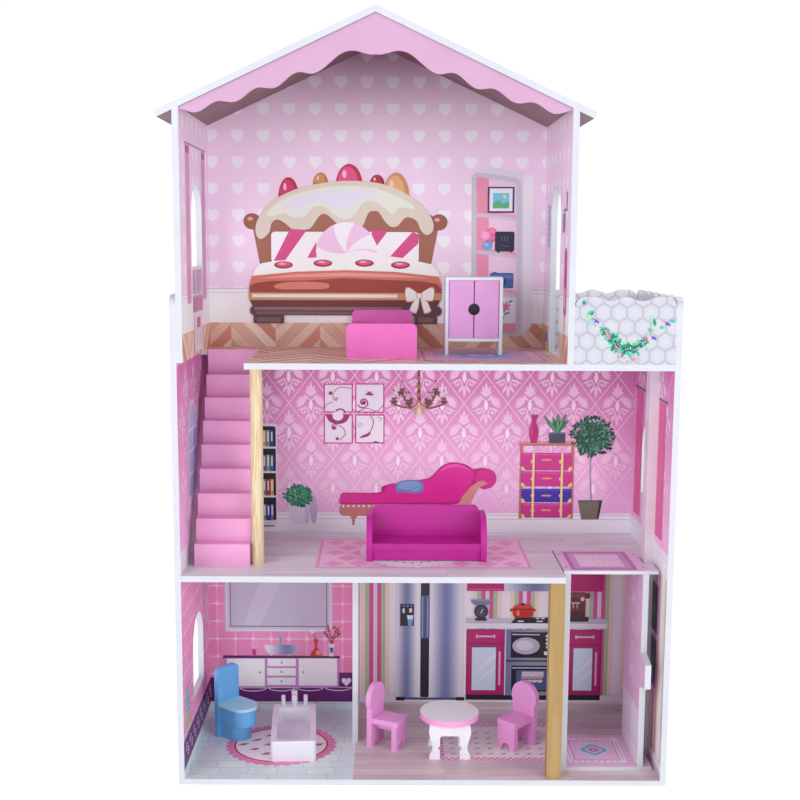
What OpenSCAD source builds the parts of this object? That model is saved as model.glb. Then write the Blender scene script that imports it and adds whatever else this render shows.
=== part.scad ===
// Three-storey wooden dollhouse with a sliding lift, a terrace and loose furniture.
// Millimetres, +Z up, +X to the right, +Y from the open front to the back panels.
// Every piece is placed in the house frame (X 0 on the middle of the body, Y 0 on
// the front plane, Z 0 on the ground); place() then moves it to the part's origin,
// the bottom centre of the whole box.

/* [House] */
// Width over the two side walls
house_w = 730; // [720:1:740]
// Depth from the front plane to the rear faces of the back panels
house_d = 284; // [280:1:290]
// Thickness of every wooden board of the house
board = 9; // [8:0.5:10]
// Thickness of the back panels
back_t = 4; // [3:0.5:5]
// Height from one floor to the next
storey_h = 313; // [310:0.5:316]
// Height of the side walls
wall_h = 731.5; // [728:0.5:740]
// Radius of the rounded upper corners of side walls and rails
corner_r = 16; // [10:1:20]

/* [Roof] */
// Position of the ridge, from the middle of the body
ridge_x = -73; // [-80:1:-66]
// Height of the ridge
ridge_z = 1130; // [1120:1:1140]
// Slope of both roof panels in degrees
roof_angle = 25; // [23:0.5:27]
// Horizontal reach of each roof panel from the ridge
roof_reach = 308; // [300:1:316]
// Outer face of the attic's right wall, from the middle of the body
attic_right = 211; // [208:1:214]
// How far the fascia sits behind the front edge of the roof
fascia_recess = 3; // [1:0.5:6]
// Thickness of the fascia
fascia_t = 5; // [4:0.5:6]

/* [Windows] */
// Width of each arched window and of the terrace door
arch_w = 104; // [90:1:108]
// Distance of the arches' near edge from the front plane
arch_y = 98; // [94:1:104]
// Height of a window sill above its floor in the side walls
sill_h = 86; // [80:1:100]
// Height of the top of those windows above their floor
arch_top = 211; // [200:1:225]
// Height of the attic window's sill above the attic floor
attic_sill = 133; // [120:1:140]
// Height of the top of the attic window and of the terrace door
attic_top = 258; // [250:1:270]

/* [Stairs] */
// Width of the stairs
stair_w = 83; // [78:1:86]
// Distance of the stairs from the left wall
stair_gap = 12; // [9:1:14]
// Front face of the lowest riser, behind the front plane
stair_front = 54; // [50:1:56]
// Depth of one step
step_run = 21.5; // [20:0.1:21.6]
// Height of one step; the last riser is the taller rest up to the third floor
step_rise = 34.3; // [33:0.1:34.7]
// Thickness of risers and treads
step_t = 4; // [3:0.5:5]
// Thickness of the stringers
stringer_t = 6; // [4:0.5:8]
// Diameter of the round post beside the stairs
stair_post_d = 19; // [16:0.5:20]

/* [Lift] */
// Width of the cabin
lift_w = 141.5; // [138:0.5:142]
// Depth of the cabin
lift_d = 122; // [118:1:126]
// Front face of the cabin, behind the front plane
lift_y = 37; // [34:1:40]
// Thickness of the cabin's floor and roof
lift_panel_t = 5; // [4:0.5:6]
// Gap between the cabin and the edges of the shaft
lift_gap = 2.5; // [2:0.5:3]
// Width of the guide rail on the right wall
rail_w = 15; // [13:0.5:15]
// Depth of the guide rail
rail_d = 26; // [20:1:28]
// Reach of the handle in front of the cabin
handle_reach = 34; // [15:1:34]

/* [Furniture places] */
// Left edge of the bed
bed_x = -116; // [-125:1:-110]
// Foot of the bed, behind the front plane
bed_y = 78; // [70:1:78]
// Left edge of the wardrobe
wardrobe_x = 34; // [20:0.5:45]
// Front of the wardrobe
wardrobe_y = 143; // [130:1:160]
// Left edge of the sofa
sofa_x = -86; // [-95:0.5:-75]
// Front of the sofa
sofa_y = 84; // [70:1:100]
// Middle of the toilet's back board, across the house
toilet_x = -311.5; // [-316:0.5:-300]
// Middle of the toilet's back board, in depth
toilet_y = 173.5; // [160:0.5:185]
// Turn of the toilet
toilet_turn = -39; // [-50:1:-25]
// Middle of the bathtub's front
bath_x = -198; // [-204:1:-194]
// Front of the bathtub
bath_y = 63; // [50:1:75]
// Turn of the bathtub
bath_turn = 3.5; // [0:0.5:7]
// Middle of the table, across the house
table_x = 45; // [42:1:50]
// Middle of the table, in depth
table_y = 103; // [96:1:110]
// Middle of the left chair's back board, across the house
chair_left_x = -68; // [-70:1:-66]
// Middle of the left chair's back board, in depth
chair_left_y = 135; // [130:1:138]
// Turn of the left chair
chair_left_turn = -27; // [-32:1:-20]
// Middle of the right chair's back board, across the house
chair_right_x = 166; // [162:1:168]
// Middle of the right chair's back board, in depth
chair_right_y = 140; // [136:1:146]
// Turn of the right chair
chair_right_turn = 223.5; // [215:0.5:228]

/* [Furniture sizes] */
// Width of the bed
bed_w = 105; // [95:1:115]
// Length of the bed
bed_l = 200; // [190:1:201]
// Height of the footboard
foot_h = 52; // [48:1:60]
// Height of the headboard
head_h = 62; // [58:1:68]
// Width of the wardrobe
wardrobe_w = 88; // [84:1:96]
// Depth of the wardrobe
wardrobe_d = 50; // [40:1:54]
// Height of the wardrobe
wardrobe_h = 119.5; // [115:0.5:128]
// Thickness of the wardrobe's panels and doors
panel_t = 5; // [4.5:0.5:5.5]
// Diameter of the wardrobe's hinge pins
pin_d = 2; // [1.6:0.1:2.4]
// Width of the sofa
sofa_w = 184.5; // [178:0.5:190]
// Depth of the sofa
sofa_d = 66; // [58:1:70]
// Height of the sofa's back
sofa_h = 76; // [74:1:82]
// Height of the toilet's back board
toilet_h = 114; // [105:1:118]
// Width of the bathtub
bath_w = 70.5; // [68:0.5:74]
// Length of the bathtub
bath_l = 155; // [148:1:160]
// Height of the bathtub
bath_h = 33; // [30:1:36]
// Diameter of the table top
table_d = 92; // [88:1:96]
// Height of the table
table_h = 67.5; // [62:0.5:72]
// Height of a chair's back
chair_h = 101.5; // [96:0.5:106]
// Height of a chair's seat
seat_h = 48.5; // [46:0.5:52]

/* [Hidden] */
$fn = 48;
eps = 1;
half_in = house_w / 2 - board;
back_y = house_d - back_t;
floor_1 = board;
floor_2 = floor_1 + storey_h;
floor_3 = floor_2 + storey_h;
frame_x = (roof_reach - ridge_x - house_w / 2) / 2;
roof_v = board / cos(roof_angle);
attic_in_left = -half_in + board;
attic_in_right = attic_right - board;

// Waves along the tops of the rails and of the right side wall
wave_depth = 6;
wall_waves = 5;
wall_first_crest = corner_r;
wall_period = (house_d - 2 * corner_r) / wall_waves;
rail_waves = 2;
rail_first_crest = 25;
rail_period = 47;

// Stairs
stair_x = -half_in + stair_gap;
risers = 9;
stair_back = stair_front + (risers - 1) * step_run + step_t;
stringer_band = 26;
stairwell_x = stair_x + stair_w + 1;
stair_post_x = stairwell_x + stair_post_d / 2;
stair_post_y = 72;

// Square post at the corner of the lift shaft
corner_post_w = 21.5;
corner_post_d = 21.5;
corner_post_y = 4;

// Ground-floor partition between bathroom and kitchen
partition_x = -108.5;
partition_y = 138.5;

// Lift shaft and cabin
lift_x = half_in - 4 - lift_w;
shaft_x = lift_x - lift_gap;
shaft_back = lift_y + lift_d + lift_gap;
lift_wall_h = storey_h - 2 * lift_panel_t;
lift_left_wall_x = lift_x + 1.5;
lift_right_wall_x = lift_x + lift_w - 23;
rail_y = lift_y + 53;
rail_gap = 3;
handle_low = 141.5;
handle_high = 186.5;
handle_slope = 8;

// Screws and nails
screw_r = 1.6;
screw_head_r = 3.2;
screw_head_h = 1.6;
screw_len = 24;
roof_screw_len = 16;
roof_screw_out = 0.5;
lift_screw_len = 16;
nail_r = 0.8;
nail_head_r = 2;
nail_head_h = 0.8;
nail_len = 13;
nails_per_row = 6;

// Furniture
rail_top = 44;
rail_low = 12;
rail_in = 5;
head_in = 3;
bed_base_z = 18;
wardrobe_shelf_z = 21;
door_gap = 0.5;
door_split = 1.6;
door_recess = 0.5;
door_hole_r = 9;
pin_clear = 0.05;
pin_in_panel = 3;
pin_in_door = 5;
door_axis_x = panel_t + door_gap + panel_t / 2;
door_axis_y = door_recess + panel_t / 2;
door_low = wardrobe_shelf_z + panel_t + door_gap;
door_high = wardrobe_h - panel_t - door_gap;
arm_h = 68;
arm_front_h = 36;
arm_curve = 32;
sofa_seat_z = 18;
sofa_seat_t = 10;
sofa_skirt_z = 2;
sofa_back_z = 8;
toilet_w = 46;
toilet_base_h = 25;
toilet_bowl_h = 52;
toilet_lid_t = 5;
bath_rim = 9;
bath_front_rim = 7;
bath_rear_rim = 15;
bath_bottom = 8;
tap_spacing = 18.5;
leg_board = 9;
leg_spread = 25.5;
leg_gap = 31;
leg_gap_h = 38;
ankle_z = 18;
table_top_t = 9;
chair_board = 8.5;
chair_head_d = 50;
chair_back_w = 43;
chair_seat_w = 38;
chair_seat_t = 9;
chair_seat_l = 44;
chair_leg_x = 33.5;
chair_leg_w = 35;
chair_rail_h = 12;

// ---------------------------------------------------------------- placing

// House frame to the part's origin
module place() translate([frame_x, -house_d / 2, 0]) children();

// A loose piece standing on a floor of the house
module stand(x, y, z, turn = 0) place() translate([x, y, z]) rotate([0, 0, turn]) children();

// Board facing the front: an X-Z outline from depth y to y + t
module front_board(y, t) translate([0, y + t, 0]) rotate([90, 0, 0]) linear_extrude(t) children();

// Board facing sideways: a Y-Z outline from x to x + t
module side_board(x, t) translate([x, 0, 0]) rotate([90, 0, 90]) linear_extrude(t) children();

// ---------------------------------------------------------------- outlines

// Round-headed opening, its lower left corner at [y, z]
module arch(y, z, w, h) translate([y, z]) {
    square([w, h - w / 2]);
    translate([w / 2, h - w / 2]) circle(d = w);
}

// Rectangle with its two upper corners rounded
module round_top(w, h, r) {
    square([w, h - r]);
    translate([r, 0]) square([w - 2 * r, h]);
    for (x = [r, w - r]) translate([x, h - r]) circle(r = r);
}

// Rectangle with all corners rounded
module round_rect(w, d, r) {
    translate([r, 0]) square([w - 2 * r, d]);
    translate([0, r]) square([w, d - 2 * r]);
    for (x = [r, w - r], y = [r, d - r]) translate([x, y]) circle(r = r);
}

// Height of a wavy top edge at distance s, with whole waves between the first
// and the last crest and a level edge outside them
function wavy(s, h, first, waves, period) =
    (s < first || s > first + waves * period)
        ? h
        : h - wave_depth * (1 - cos(360 * (s - first) / period)) / 2;

// Points of a quarter round about [x, z], from one angle to the other
function quarter(x, z, r, from, to) =
    [for (k = [0:8]) let (a = from + (to - from) * k / 8) [x + r * cos(a), z + r * sin(a)]];

// Board outline with rounded upper corners and a wavy top edge
module wavy_top(w, h, first, waves, period) {
    last = w - corner_r;
    steps = 60;
    polygon(concat(
        [[w, 0], [0, 0]],
        quarter(corner_r, h - corner_r, corner_r, 180, 90),
        [for (k = [1:steps - 1])
            let (s = corner_r + (last - corner_r) * k / steps)
                [s, wavy(s, h, first, waves, period)]],
        quarter(last, h - corner_r, corner_r, 90, 0)
    ));
}

// D-shaped outline: straight sides of half-width r from the origin, round end at x = l
module d_shape(l, r) {
    translate([0, -r]) square([l - r, 2 * r]);
    translate([l - r, 0]) circle(r = r);
}

// ---------------------------------------------------------------- fasteners

// Countersunk screw pointing along -Z, its head's face at the origin
module screw(len) {
    translate([0, 0, -screw_head_h]) cylinder(r = screw_head_r, h = screw_head_h);
    translate([0, 0, -len]) cylinder(r = screw_r, h = len);
}

// Nail pointing along -Z, its head's face at the origin
module nail() {
    translate([0, 0, -nail_head_h]) cylinder(r = nail_head_r, h = nail_head_h);
    translate([0, 0, -nail_len]) cylinder(r = nail_r, h = nail_len);
}

// Screws through the left side wall into the three floors
module left_wall_screws() {
    x = -house_w / 2;
    for (y = [50, 235], z = [floor_1, floor_2])
        translate([x, y, z - board / 2]) rotate([0, -90, 0]) screw(screw_len);
    translate([x, 255, floor_3 - board / 2]) rotate([0, -90, 0]) screw(screw_len);
}

// Screws through the right side wall into the three floors
module right_wall_screws() {
    x = house_w / 2;
    for (y = [50, 235], z = [floor_1, floor_3])
        translate([x, y, z - board / 2]) rotate([0, 90, 0]) screw(screw_len);
    for (y = [190, 255])
        translate([x, y, floor_2 - board / 2]) rotate([0, 90, 0]) screw(screw_len);
}

// Screws through one roof panel, square to its slope, into the attic wall below it;
// they start just outside the wall, so that their points stay inside it
module roof_screws(head_x, side) {
    run = abs(head_x - ridge_x);
    for (y = [50, 230])
        translate([head_x, y, ridge_z - run * tan(roof_angle)])
            rotate([0, side * roof_angle, 0])
                screw(roof_screw_len);
}

module all_house_screws() {
    left_wall_screws();
    right_wall_screws();
    roof_screws(-half_in - roof_screw_out, -1);
    roof_screws(attic_right + roof_screw_out, 1);
}

// One level row of nails through a back panel into a floor
module nail_row(z) {
    for (k = [0:nails_per_row - 1])
        translate([-half_in + 30 + k * (2 * half_in - 60) / (nails_per_row - 1), house_d, z])
            rotate([-90, 0, 0]) nail();
}

// Nails through the attic back panel into the two attic walls
module attic_nails() {
    for (x = [-half_in + board / 2, attic_right - board / 2], z = [40, 160, 280])
        translate([x, house_d, floor_3 + z]) rotate([-90, 0, 0]) nail();
}

module all_nails() {
    nail_row(floor_1 - board / 2);
    nail_row(floor_2 - board / 2);
    nail_row(floor_3 - board / 2);
    attic_nails();
}

// ---------------------------------------------------------------- floors

module bottom_panel() color("thistle") place() difference() {
    translate([-half_in, 0, 0]) cube([2 * half_in, back_y, board]);
    left_wall_screws();
    right_wall_screws();
    nail_row(floor_1 - board / 2);
}

// The front right corner is cut out for the lift
module second_floor() color("thistle") place() difference() {
    translate([0, 0, floor_2 - board]) linear_extrude(board) polygon([
        [-half_in, 0], [shaft_x, 0], [shaft_x, shaft_back],
        [half_in, shaft_back], [half_in, back_y], [-half_in, back_y]
    ]);
    left_wall_screws();
    right_wall_screws();
    nail_row(floor_2 - board / 2);
}

// The front left corner is cut out for the stairs
module third_floor() color("thistle") place() difference() {
    translate([0, 0, floor_3 - board]) linear_extrude(board) polygon([
        [stairwell_x, 0], [half_in, 0], [half_in, back_y],
        [-half_in, back_y], [-half_in, stair_back], [stairwell_x, stair_back]
    ]);
    left_wall_screws();
    right_wall_screws();
    nail_row(floor_3 - board / 2);
}

// ---------------------------------------------------------------- walls

module left_side_wall() color("hotpink") place() difference() {
    side_board(-house_w / 2, board) difference() {
        round_top(house_d, wall_h, corner_r);
        arch(arch_y, floor_1 + sill_h, arch_w, arch_top - sill_h);
    }
    left_wall_screws();
}

module right_side_wall() color("hotpink") place() difference() {
    side_board(half_in, board) difference() {
        wavy_top(house_d, wall_h, wall_first_crest, wall_waves, wall_period);
        arch(arch_y, floor_2 + sill_h, arch_w, arch_top - sill_h);
    }
    right_wall_screws();
}

module ground_partition() color("hotpink") place()
    translate([partition_x, partition_y, floor_1])
        cube([board, back_y - partition_y, storey_h - board]);

// One back panel between the side walls
module back_panel(low, high)
    translate([-half_in, back_y, low]) cube([2 * half_in, back_t, high - low]);

module ground_back_panel() color("pink") place() difference() {
    back_panel(0, floor_2);
    nail_row(floor_1 - board / 2);
    nail_row(floor_2 - board / 2);
}

module second_back_panel() color("orchid") place() difference() {
    back_panel(floor_2, floor_3);
    nail_row(floor_3 - board / 2);
}

// ---------------------------------------------------------------- attic

// Height of the roof's underside at x
function roof_under(x) = ridge_z - roof_v - abs(x - ridge_x) * tan(roof_angle);

module attic_back_panel() color("plum") place() difference() {
    front_board(back_y, back_t) polygon([
        [-half_in, floor_3], [attic_right, floor_3], [attic_right, roof_under(attic_right)],
        [ridge_x, roof_under(ridge_x)], [-half_in, roof_under(-half_in)]
    ]);
    attic_nails();
}

// Attic wall from the floor to the slanting underside of the roof
module attic_wall(x) front_board(0, back_y) polygon([
    [x, floor_3], [x + board, floor_3],
    [x + board, roof_under(x + board)], [x, roof_under(x)]
]);

module attic_left_wall() color("plum") place() difference() {
    attic_wall(-half_in);
    side_board(-half_in - eps, board + 2 * eps)
        arch(arch_y, floor_3 + attic_sill, arch_w, attic_top - attic_sill);
    all_house_screws();
    attic_nails();
}

// The terrace door runs down to the floor
module attic_right_wall() color("plum") place() difference() {
    attic_wall(attic_in_right);
    side_board(attic_in_right - eps, board + 2 * eps)
        arch(arch_y, floor_3 - eps, arch_w, attic_top + eps);
    all_house_screws();
    attic_nails();
}

// One roof panel, drawn to the right of the ridge; both meet in an upright seam
module roof_panel() front_board(0, house_d) polygon([
    [0, ridge_z],
    [roof_reach, ridge_z - roof_reach * tan(roof_angle)],
    [roof_reach - board * sin(roof_angle),
     ridge_z - roof_reach * tan(roof_angle) - board * cos(roof_angle)],
    [0, ridge_z - roof_v]
]);

module roof_left_panel() color("white") place() difference() {
    translate([ridge_x, 0, 0]) mirror([1, 0, 0]) roof_panel();
    all_house_screws();
}

module roof_right_panel() color("white") place() difference() {
    translate([ridge_x, 0, 0]) roof_panel();
    all_house_screws();
}

// Phase of the fascia's waves: one wide lobe under the ridge, then even waves
function lobe_phase(s) =
    s < 45 ? 180 * s / 45 :
    s < 84 ? 180 + 180 * (s - 45) / 39 :
    360 + 360 * (s - 84) / 55;

// Height of the fascia at distance s from the ridge, l being its whole length
function fascia_h(s, l) =
    44 - 0.085 * s - 14 * pow(s / l, 6) + (4 + 8 * exp(-s / 50)) * cos(lobe_phase(s));

// Board with a wavy lower edge under the front of the roof
module roof_fascia() color("pink") place()
    front_board(fascia_recess, fascia_t) {
        steps = 90;
        polygon(concat(
            [[attic_in_right, roof_under(attic_in_right)], [ridge_x, roof_under(ridge_x)],
             [attic_in_left, roof_under(attic_in_left)]],
            [for (k = [0:2 * steps])
                let (
                    left = ridge_x - attic_in_left,
                    right = attic_in_right - ridge_x,
                    u = k / steps - 1,
                    l = u < 0 ? left : right,
                    x = ridge_x + u * l
                ) [x, roof_under(x) - fascia_h(abs(u) * l, l)]]
        ));
    }

// ---------------------------------------------------------------- terrace

module terrace_rail(y)
    translate([attic_right, 0, floor_3])
        front_board(y, board)
            wavy_top(half_in - attic_right, wall_h - floor_3, rail_first_crest, rail_waves, rail_period);

module terrace_front_rail() color("whitesmoke") place() terrace_rail(0);

module terrace_rear_rail() color("whitesmoke") place() terrace_rail(back_y - board);

// ---------------------------------------------------------------- stairs and posts

// Saw-toothed outline below the treads and behind the risers
module stringer_outline() polygon(concat(
    [[stair_front + step_t, 0]],
    [for (k = [0:risers - 2], top = [0, 1])
        [stair_front + step_t + (k + top) * step_run, (k + 1) * step_rise - step_t]],
    [[stair_back, (risers - 1) * step_rise - step_t - 2 * stringer_band],
     [stair_front + step_t + stringer_band, 0]]
));

module stair_stringers() color("palevioletred") place()
    for (x = [stair_x, stair_x + stair_w - stringer_t])
        translate([0, 0, floor_2]) side_board(x, stringer_t) stringer_outline();

// Each riser stands on the tread below it; the last one reaches the third floor
module stair_risers() color("palevioletred") place() {
    for (k = [0:risers - 2])
        translate([stair_x, stair_front + k * step_run, floor_2 + k * step_rise])
            cube([stair_w, step_t, step_rise - step_t]);
    translate([stair_x, stair_back - step_t, floor_2 + (risers - 1) * step_rise])
        cube([stair_w, step_t, storey_h - (risers - 1) * step_rise]);
}

module stair_treads() color("palevioletred") place()
    for (k = [0:risers - 2])
        translate([stair_x, stair_front + k * step_run, floor_2 + (k + 1) * step_rise - step_t])
            cube([stair_w, step_run + step_t, step_t]);

module stair_post() color("burlywood") place()
    translate([stair_post_x, stair_post_y, floor_2])
        cylinder(d = stair_post_d, h = storey_h - board);

module corner_post() color("peru") place()
    translate([shaft_x - corner_post_w, corner_post_y, floor_1])
        cube([corner_post_w, corner_post_d, storey_h - board]);

module lift_rail() color("white") place()
    translate([half_in - rail_w, rail_y, floor_1])
        cube([rail_w, rail_d, 2 * storey_h - board]);

module house_screws() color("silver") place() all_house_screws();

module back_panel_nails() color("silver") place() all_nails();

// ---------------------------------------------------------------- lift cabin

// Floor or roof of the cabin, notched round the guide rail
module lift_panel() linear_extrude(lift_panel_t) difference() {
    translate([lift_x, lift_y]) square([lift_w, lift_d]);
    translate([half_in - rail_w - rail_gap, rail_y - rail_gap])
        square([rail_w + rail_gap + eps, rail_d + 2 * rail_gap]);
}

// Screws from above and from below into the cabin's walls
module cabin_screws() {
    for (x = [lift_left_wall_x + board / 2, lift_right_wall_x + board / 2], y = [22, 100]) {
        translate([x, lift_y + y, floor_2]) screw(lift_screw_len);
        translate([x, lift_y + y, floor_1]) mirror([0, 0, 1]) screw(lift_screw_len);
    }
}

module lift_floor() color("pink") place() difference() {
    translate([0, 0, floor_1]) lift_panel();
    cabin_screws();
}

module lift_roof() color("pink") place() difference() {
    translate([0, 0, floor_2 - lift_panel_t]) lift_panel();
    cabin_screws();
}

module lift_left_wall() color("pink") place() difference() {
    translate([lift_left_wall_x, lift_y, floor_1 + lift_panel_t]) cube([board, lift_d, lift_wall_h]);
    cabin_screws();
}

// The right wall carries the handle on its front edge
module lift_right_wall() color("pink") place() difference() {
    translate([0, 0, floor_1]) side_board(lift_right_wall_x, board) polygon([
        [lift_y, lift_panel_t], [lift_y, handle_low - handle_slope],
        [lift_y - handle_reach, handle_low], [lift_y - handle_reach, handle_high - handle_slope],
        [lift_y, handle_high], [lift_y, lift_panel_t + lift_wall_h],
        [lift_y + lift_d, lift_panel_t + lift_wall_h], [lift_y + lift_d, lift_panel_t]
    ]);
    cabin_screws();
}

module lift_screws() color("silver") place() cabin_screws();

// ---------------------------------------------------------------- bed

module on_bed() stand(bed_x, bed_y, floor_3) children();

module bed_footboard() color("hotpink") on_bed() front_board(0, board) round_top(bed_w, foot_h, 8);

module bed_headboard() color("hotpink") on_bed()
    front_board(bed_l - board, board)
        translate([head_in, 0]) round_top(bed_w - 2 * head_in, head_h, 8);

module bed_side_rails() color("hotpink") on_bed()
    for (x = [rail_in, bed_w - rail_in - board])
        translate([x, board, rail_low]) cube([board, bed_l - 2 * board, rail_top - rail_low]);

module bed_base() color("hotpink") on_bed()
    translate([rail_in + board, board, bed_base_z])
        cube([bed_w - 2 * rail_in - 2 * board, bed_l - 2 * board, panel_t]);

// ---------------------------------------------------------------- wardrobe

module on_wardrobe() stand(wardrobe_x, wardrobe_y, floor_3) children();

// Pins at the outer edge of both doors, in the top and in the bottom panel
module hinge_pins(r, length_in_door) {
    for (x = [door_axis_x, wardrobe_w - door_axis_x]) {
        translate([x, door_axis_y, door_low - door_gap - pin_in_panel])
            cylinder(r = r, h = pin_in_panel + door_gap + length_in_door);
        translate([x, door_axis_y, door_high - length_in_door])
            cylinder(r = r, h = length_in_door + door_gap + pin_in_panel);
    }
}

module wardrobe_sides() color("white") on_wardrobe()
    for (x = [0, wardrobe_w - panel_t])
        translate([x, 0, 0]) cube([panel_t, wardrobe_d, wardrobe_h]);

// Level panel between the sides, with sockets for the hinge pins
module wardrobe_shelf(z) difference() {
    translate([panel_t, 0, z]) cube([wardrobe_w - 2 * panel_t, wardrobe_d, panel_t]);
    hinge_pins(pin_d / 2, pin_in_door);
}

module wardrobe_top() color("white") on_wardrobe() wardrobe_shelf(wardrobe_h - panel_t);

module wardrobe_bottom() color("white") on_wardrobe() wardrobe_shelf(wardrobe_shelf_z);

module wardrobe_back() color("white") on_wardrobe()
    translate([panel_t, wardrobe_d - back_t, wardrobe_shelf_z + panel_t])
        cube([wardrobe_w - 2 * panel_t, back_t, wardrobe_h - wardrobe_shelf_z - 2 * panel_t]);

module wardrobe_hinge_pins() color("silver") on_wardrobe() hinge_pins(pin_d / 2, pin_in_door);

// Left door: round hinge edge about the pins and half of the finger hole
module door() difference() {
    translate([0, 0, door_low]) linear_extrude(door_high - door_low) {
        translate([door_axis_x, door_axis_y]) circle(d = panel_t);
        translate([door_axis_x, door_recess])
            square([(wardrobe_w - door_split) / 2 - door_axis_x, panel_t]);
    }
    translate([wardrobe_w / 2, -eps, (door_low + door_high) / 2]) rotate([-90, 0, 0])
        cylinder(r = door_hole_r, h = panel_t + 3 * eps);
    hinge_pins(pin_d / 2 + pin_clear, pin_in_door + door_gap);
}

module wardrobe_left_door() color("plum") on_wardrobe() door();

module wardrobe_right_door() color("plum") on_wardrobe()
    translate([wardrobe_w, 0, 0]) mirror([1, 0, 0]) door();

// ---------------------------------------------------------------- sofa

module on_sofa() stand(sofa_x, sofa_y, floor_2) children();

// Arm outline: upright front, then a quarter round up to the level top
module arm_outline() {
    square([sofa_d, arm_front_h]);
    translate([arm_curve, 0]) square([sofa_d - arm_curve - 4, arm_h]);
    translate([arm_curve, 0]) square([sofa_d - arm_curve, arm_h - 4]);
    translate([sofa_d - 4, arm_h - 4]) circle(r = 4);
    intersection() {
        translate([arm_curve, arm_front_h]) circle(r = arm_curve);
        translate([0, arm_front_h - eps]) square([arm_curve + eps, arm_curve + 2 * eps]);
    }
}

module sofa_arms() color("mediumvioletred") on_sofa()
    for (x = [0, sofa_w - board]) side_board(x, board) arm_outline();

module sofa_back() color("mediumvioletred") on_sofa()
    translate([board, 0, sofa_back_z])
        front_board(sofa_d - board, board) round_top(sofa_w - 2 * board, sofa_h - sofa_back_z, 8);

module sofa_seat() color("mediumvioletred") on_sofa()
    translate([board, 2, sofa_seat_z]) cube([sofa_w - 2 * board, sofa_d - board - 2, sofa_seat_t]);

module sofa_apron() color("mediumvioletred") on_sofa()
    translate([board, 5, sofa_skirt_z]) cube([sofa_w - 2 * board, board, sofa_seat_z - sofa_skirt_z]);

// ---------------------------------------------------------------- toilet

module on_toilet() stand(toilet_x, toilet_y, floor_1, toilet_turn) children();

module toilet_back_board() color("cornflowerblue") on_toilet()
    translate([0, -toilet_w / 2, 0]) side_board(-board, board) round_top(toilet_w, toilet_h, 9);

module toilet_base() color("cornflowerblue") on_toilet()
    linear_extrude(toilet_base_h) d_shape(43, 19);

module toilet_bowl() color("cornflowerblue") on_toilet()
    translate([0, 0, toilet_base_h]) linear_extrude(toilet_bowl_h - toilet_base_h) d_shape(53, 21);

module toilet_lid() color("lightskyblue") on_toilet()
    translate([0, 0, toilet_bowl_h]) linear_extrude(toilet_lid_t) d_shape(56.5, 23.5);

// ---------------------------------------------------------------- bathtub

module on_bath() stand(bath_x, bath_y, floor_1, bath_turn) children();

module bathtub_shell() color("lavender") on_bath() difference() {
    translate([-bath_w / 2, 0, 0]) linear_extrude(bath_h) round_rect(bath_w, bath_l, 7);
    translate([bath_rim - bath_w / 2, bath_front_rim, bath_bottom])
        linear_extrude(bath_h)
            round_rect(bath_w - 2 * bath_rim, bath_l - bath_front_rim - bath_rear_rim, 9);
}

module bathtub_taps() color("lavender") on_bath()
    for (x = [-tap_spacing, tap_spacing])
        translate([x, bath_l - 5, bath_h]) cylinder(d = 7, h = 17);

// Upright with a short arm over the tub
module bathtub_spout() color("lavender") on_bath()
    translate([0, bath_l - 6, bath_h]) {
        cylinder(d = 10, h = 25);
        translate([0, 0, 19]) rotate([90, 0, 0]) cylinder(d = 7, h = 14);
    }

// ---------------------------------------------------------------- table

module on_table() stand(table_x, table_y, floor_1) children();

module table_top() color("lavender") on_table()
    translate([0, 0, table_h - table_top_t]) cylinder(d = table_d, h = table_top_t, $fn = 96);

// Half-width of a leg board at height z: wide foot, narrow ankle, wide knee
function leg_w(z) =
    z < ankle_z
        ? 29.5 + 2.5 * cos(180 * (z - 3) / (ankle_z - 3))
        : 29.75 - 2.75 * cos(180 * (z - ankle_z) / 27);

// Board with two curved legs and an opening between them
module leg_outline() {
    h = table_h - table_top_t;
    steps = 30;
    difference() {
        polygon(concat(
            [for (k = [0:steps]) [leg_w(h * k / steps), h * k / steps]],
            [for (k = [steps:-1:0]) [-leg_w(h * k / steps), h * k / steps]]
        ));
        translate([-leg_gap / 2, -eps]) round_top(leg_gap, leg_gap_h + eps, 4);
        for (x = [-leg_gap / 2, leg_gap / 2]) translate([x, ankle_z]) circle(r = 3);
    }
}

module table_legs() color("white") on_table()
    for (y = [-leg_spread - leg_board / 2, leg_spread - leg_board / 2])
        front_board(y, leg_board) leg_outline();

// ---------------------------------------------------------------- chairs

// Arched cut between two feet
module foot_cut() translate([-8, -eps]) round_top(16, 11 + eps, 7.5);

// Back board: round head, narrower below, two feet
module chair_back() side_board(-chair_board, chair_board) difference() {
    union() {
        translate([0, chair_h - chair_head_d / 2]) circle(d = chair_head_d);
        translate([-chair_back_w / 2, 0]) square([chair_back_w, chair_h - chair_head_d / 2]);
    }
    foot_cut();
}

// Seat board with rounded front corners
module chair_seat()
    translate([0, 0, seat_h - chair_seat_t]) linear_extrude(chair_seat_t)
        rotate([0, 0, -90])
            translate([-chair_seat_w / 2, 0]) round_top(chair_seat_w, chair_seat_l, 4);

// Board with two feet below the front of the seat, and a rail back to the back board
module chair_legs() {
    h = seat_h - chair_seat_t;
    side_board(chair_leg_x, chair_board) difference() {
        translate([-chair_leg_w / 2, 0]) square([chair_leg_w, h]);
        foot_cut();
    }
    translate([0, -chair_board / 2, h - chair_rail_h])
        cube([chair_leg_x, chair_board, chair_rail_h]);
}

module on_chair_left() stand(chair_left_x, chair_left_y, floor_1, chair_left_turn) children();

module on_chair_right() stand(chair_right_x, chair_right_y, floor_1, chair_right_turn) children();

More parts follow.
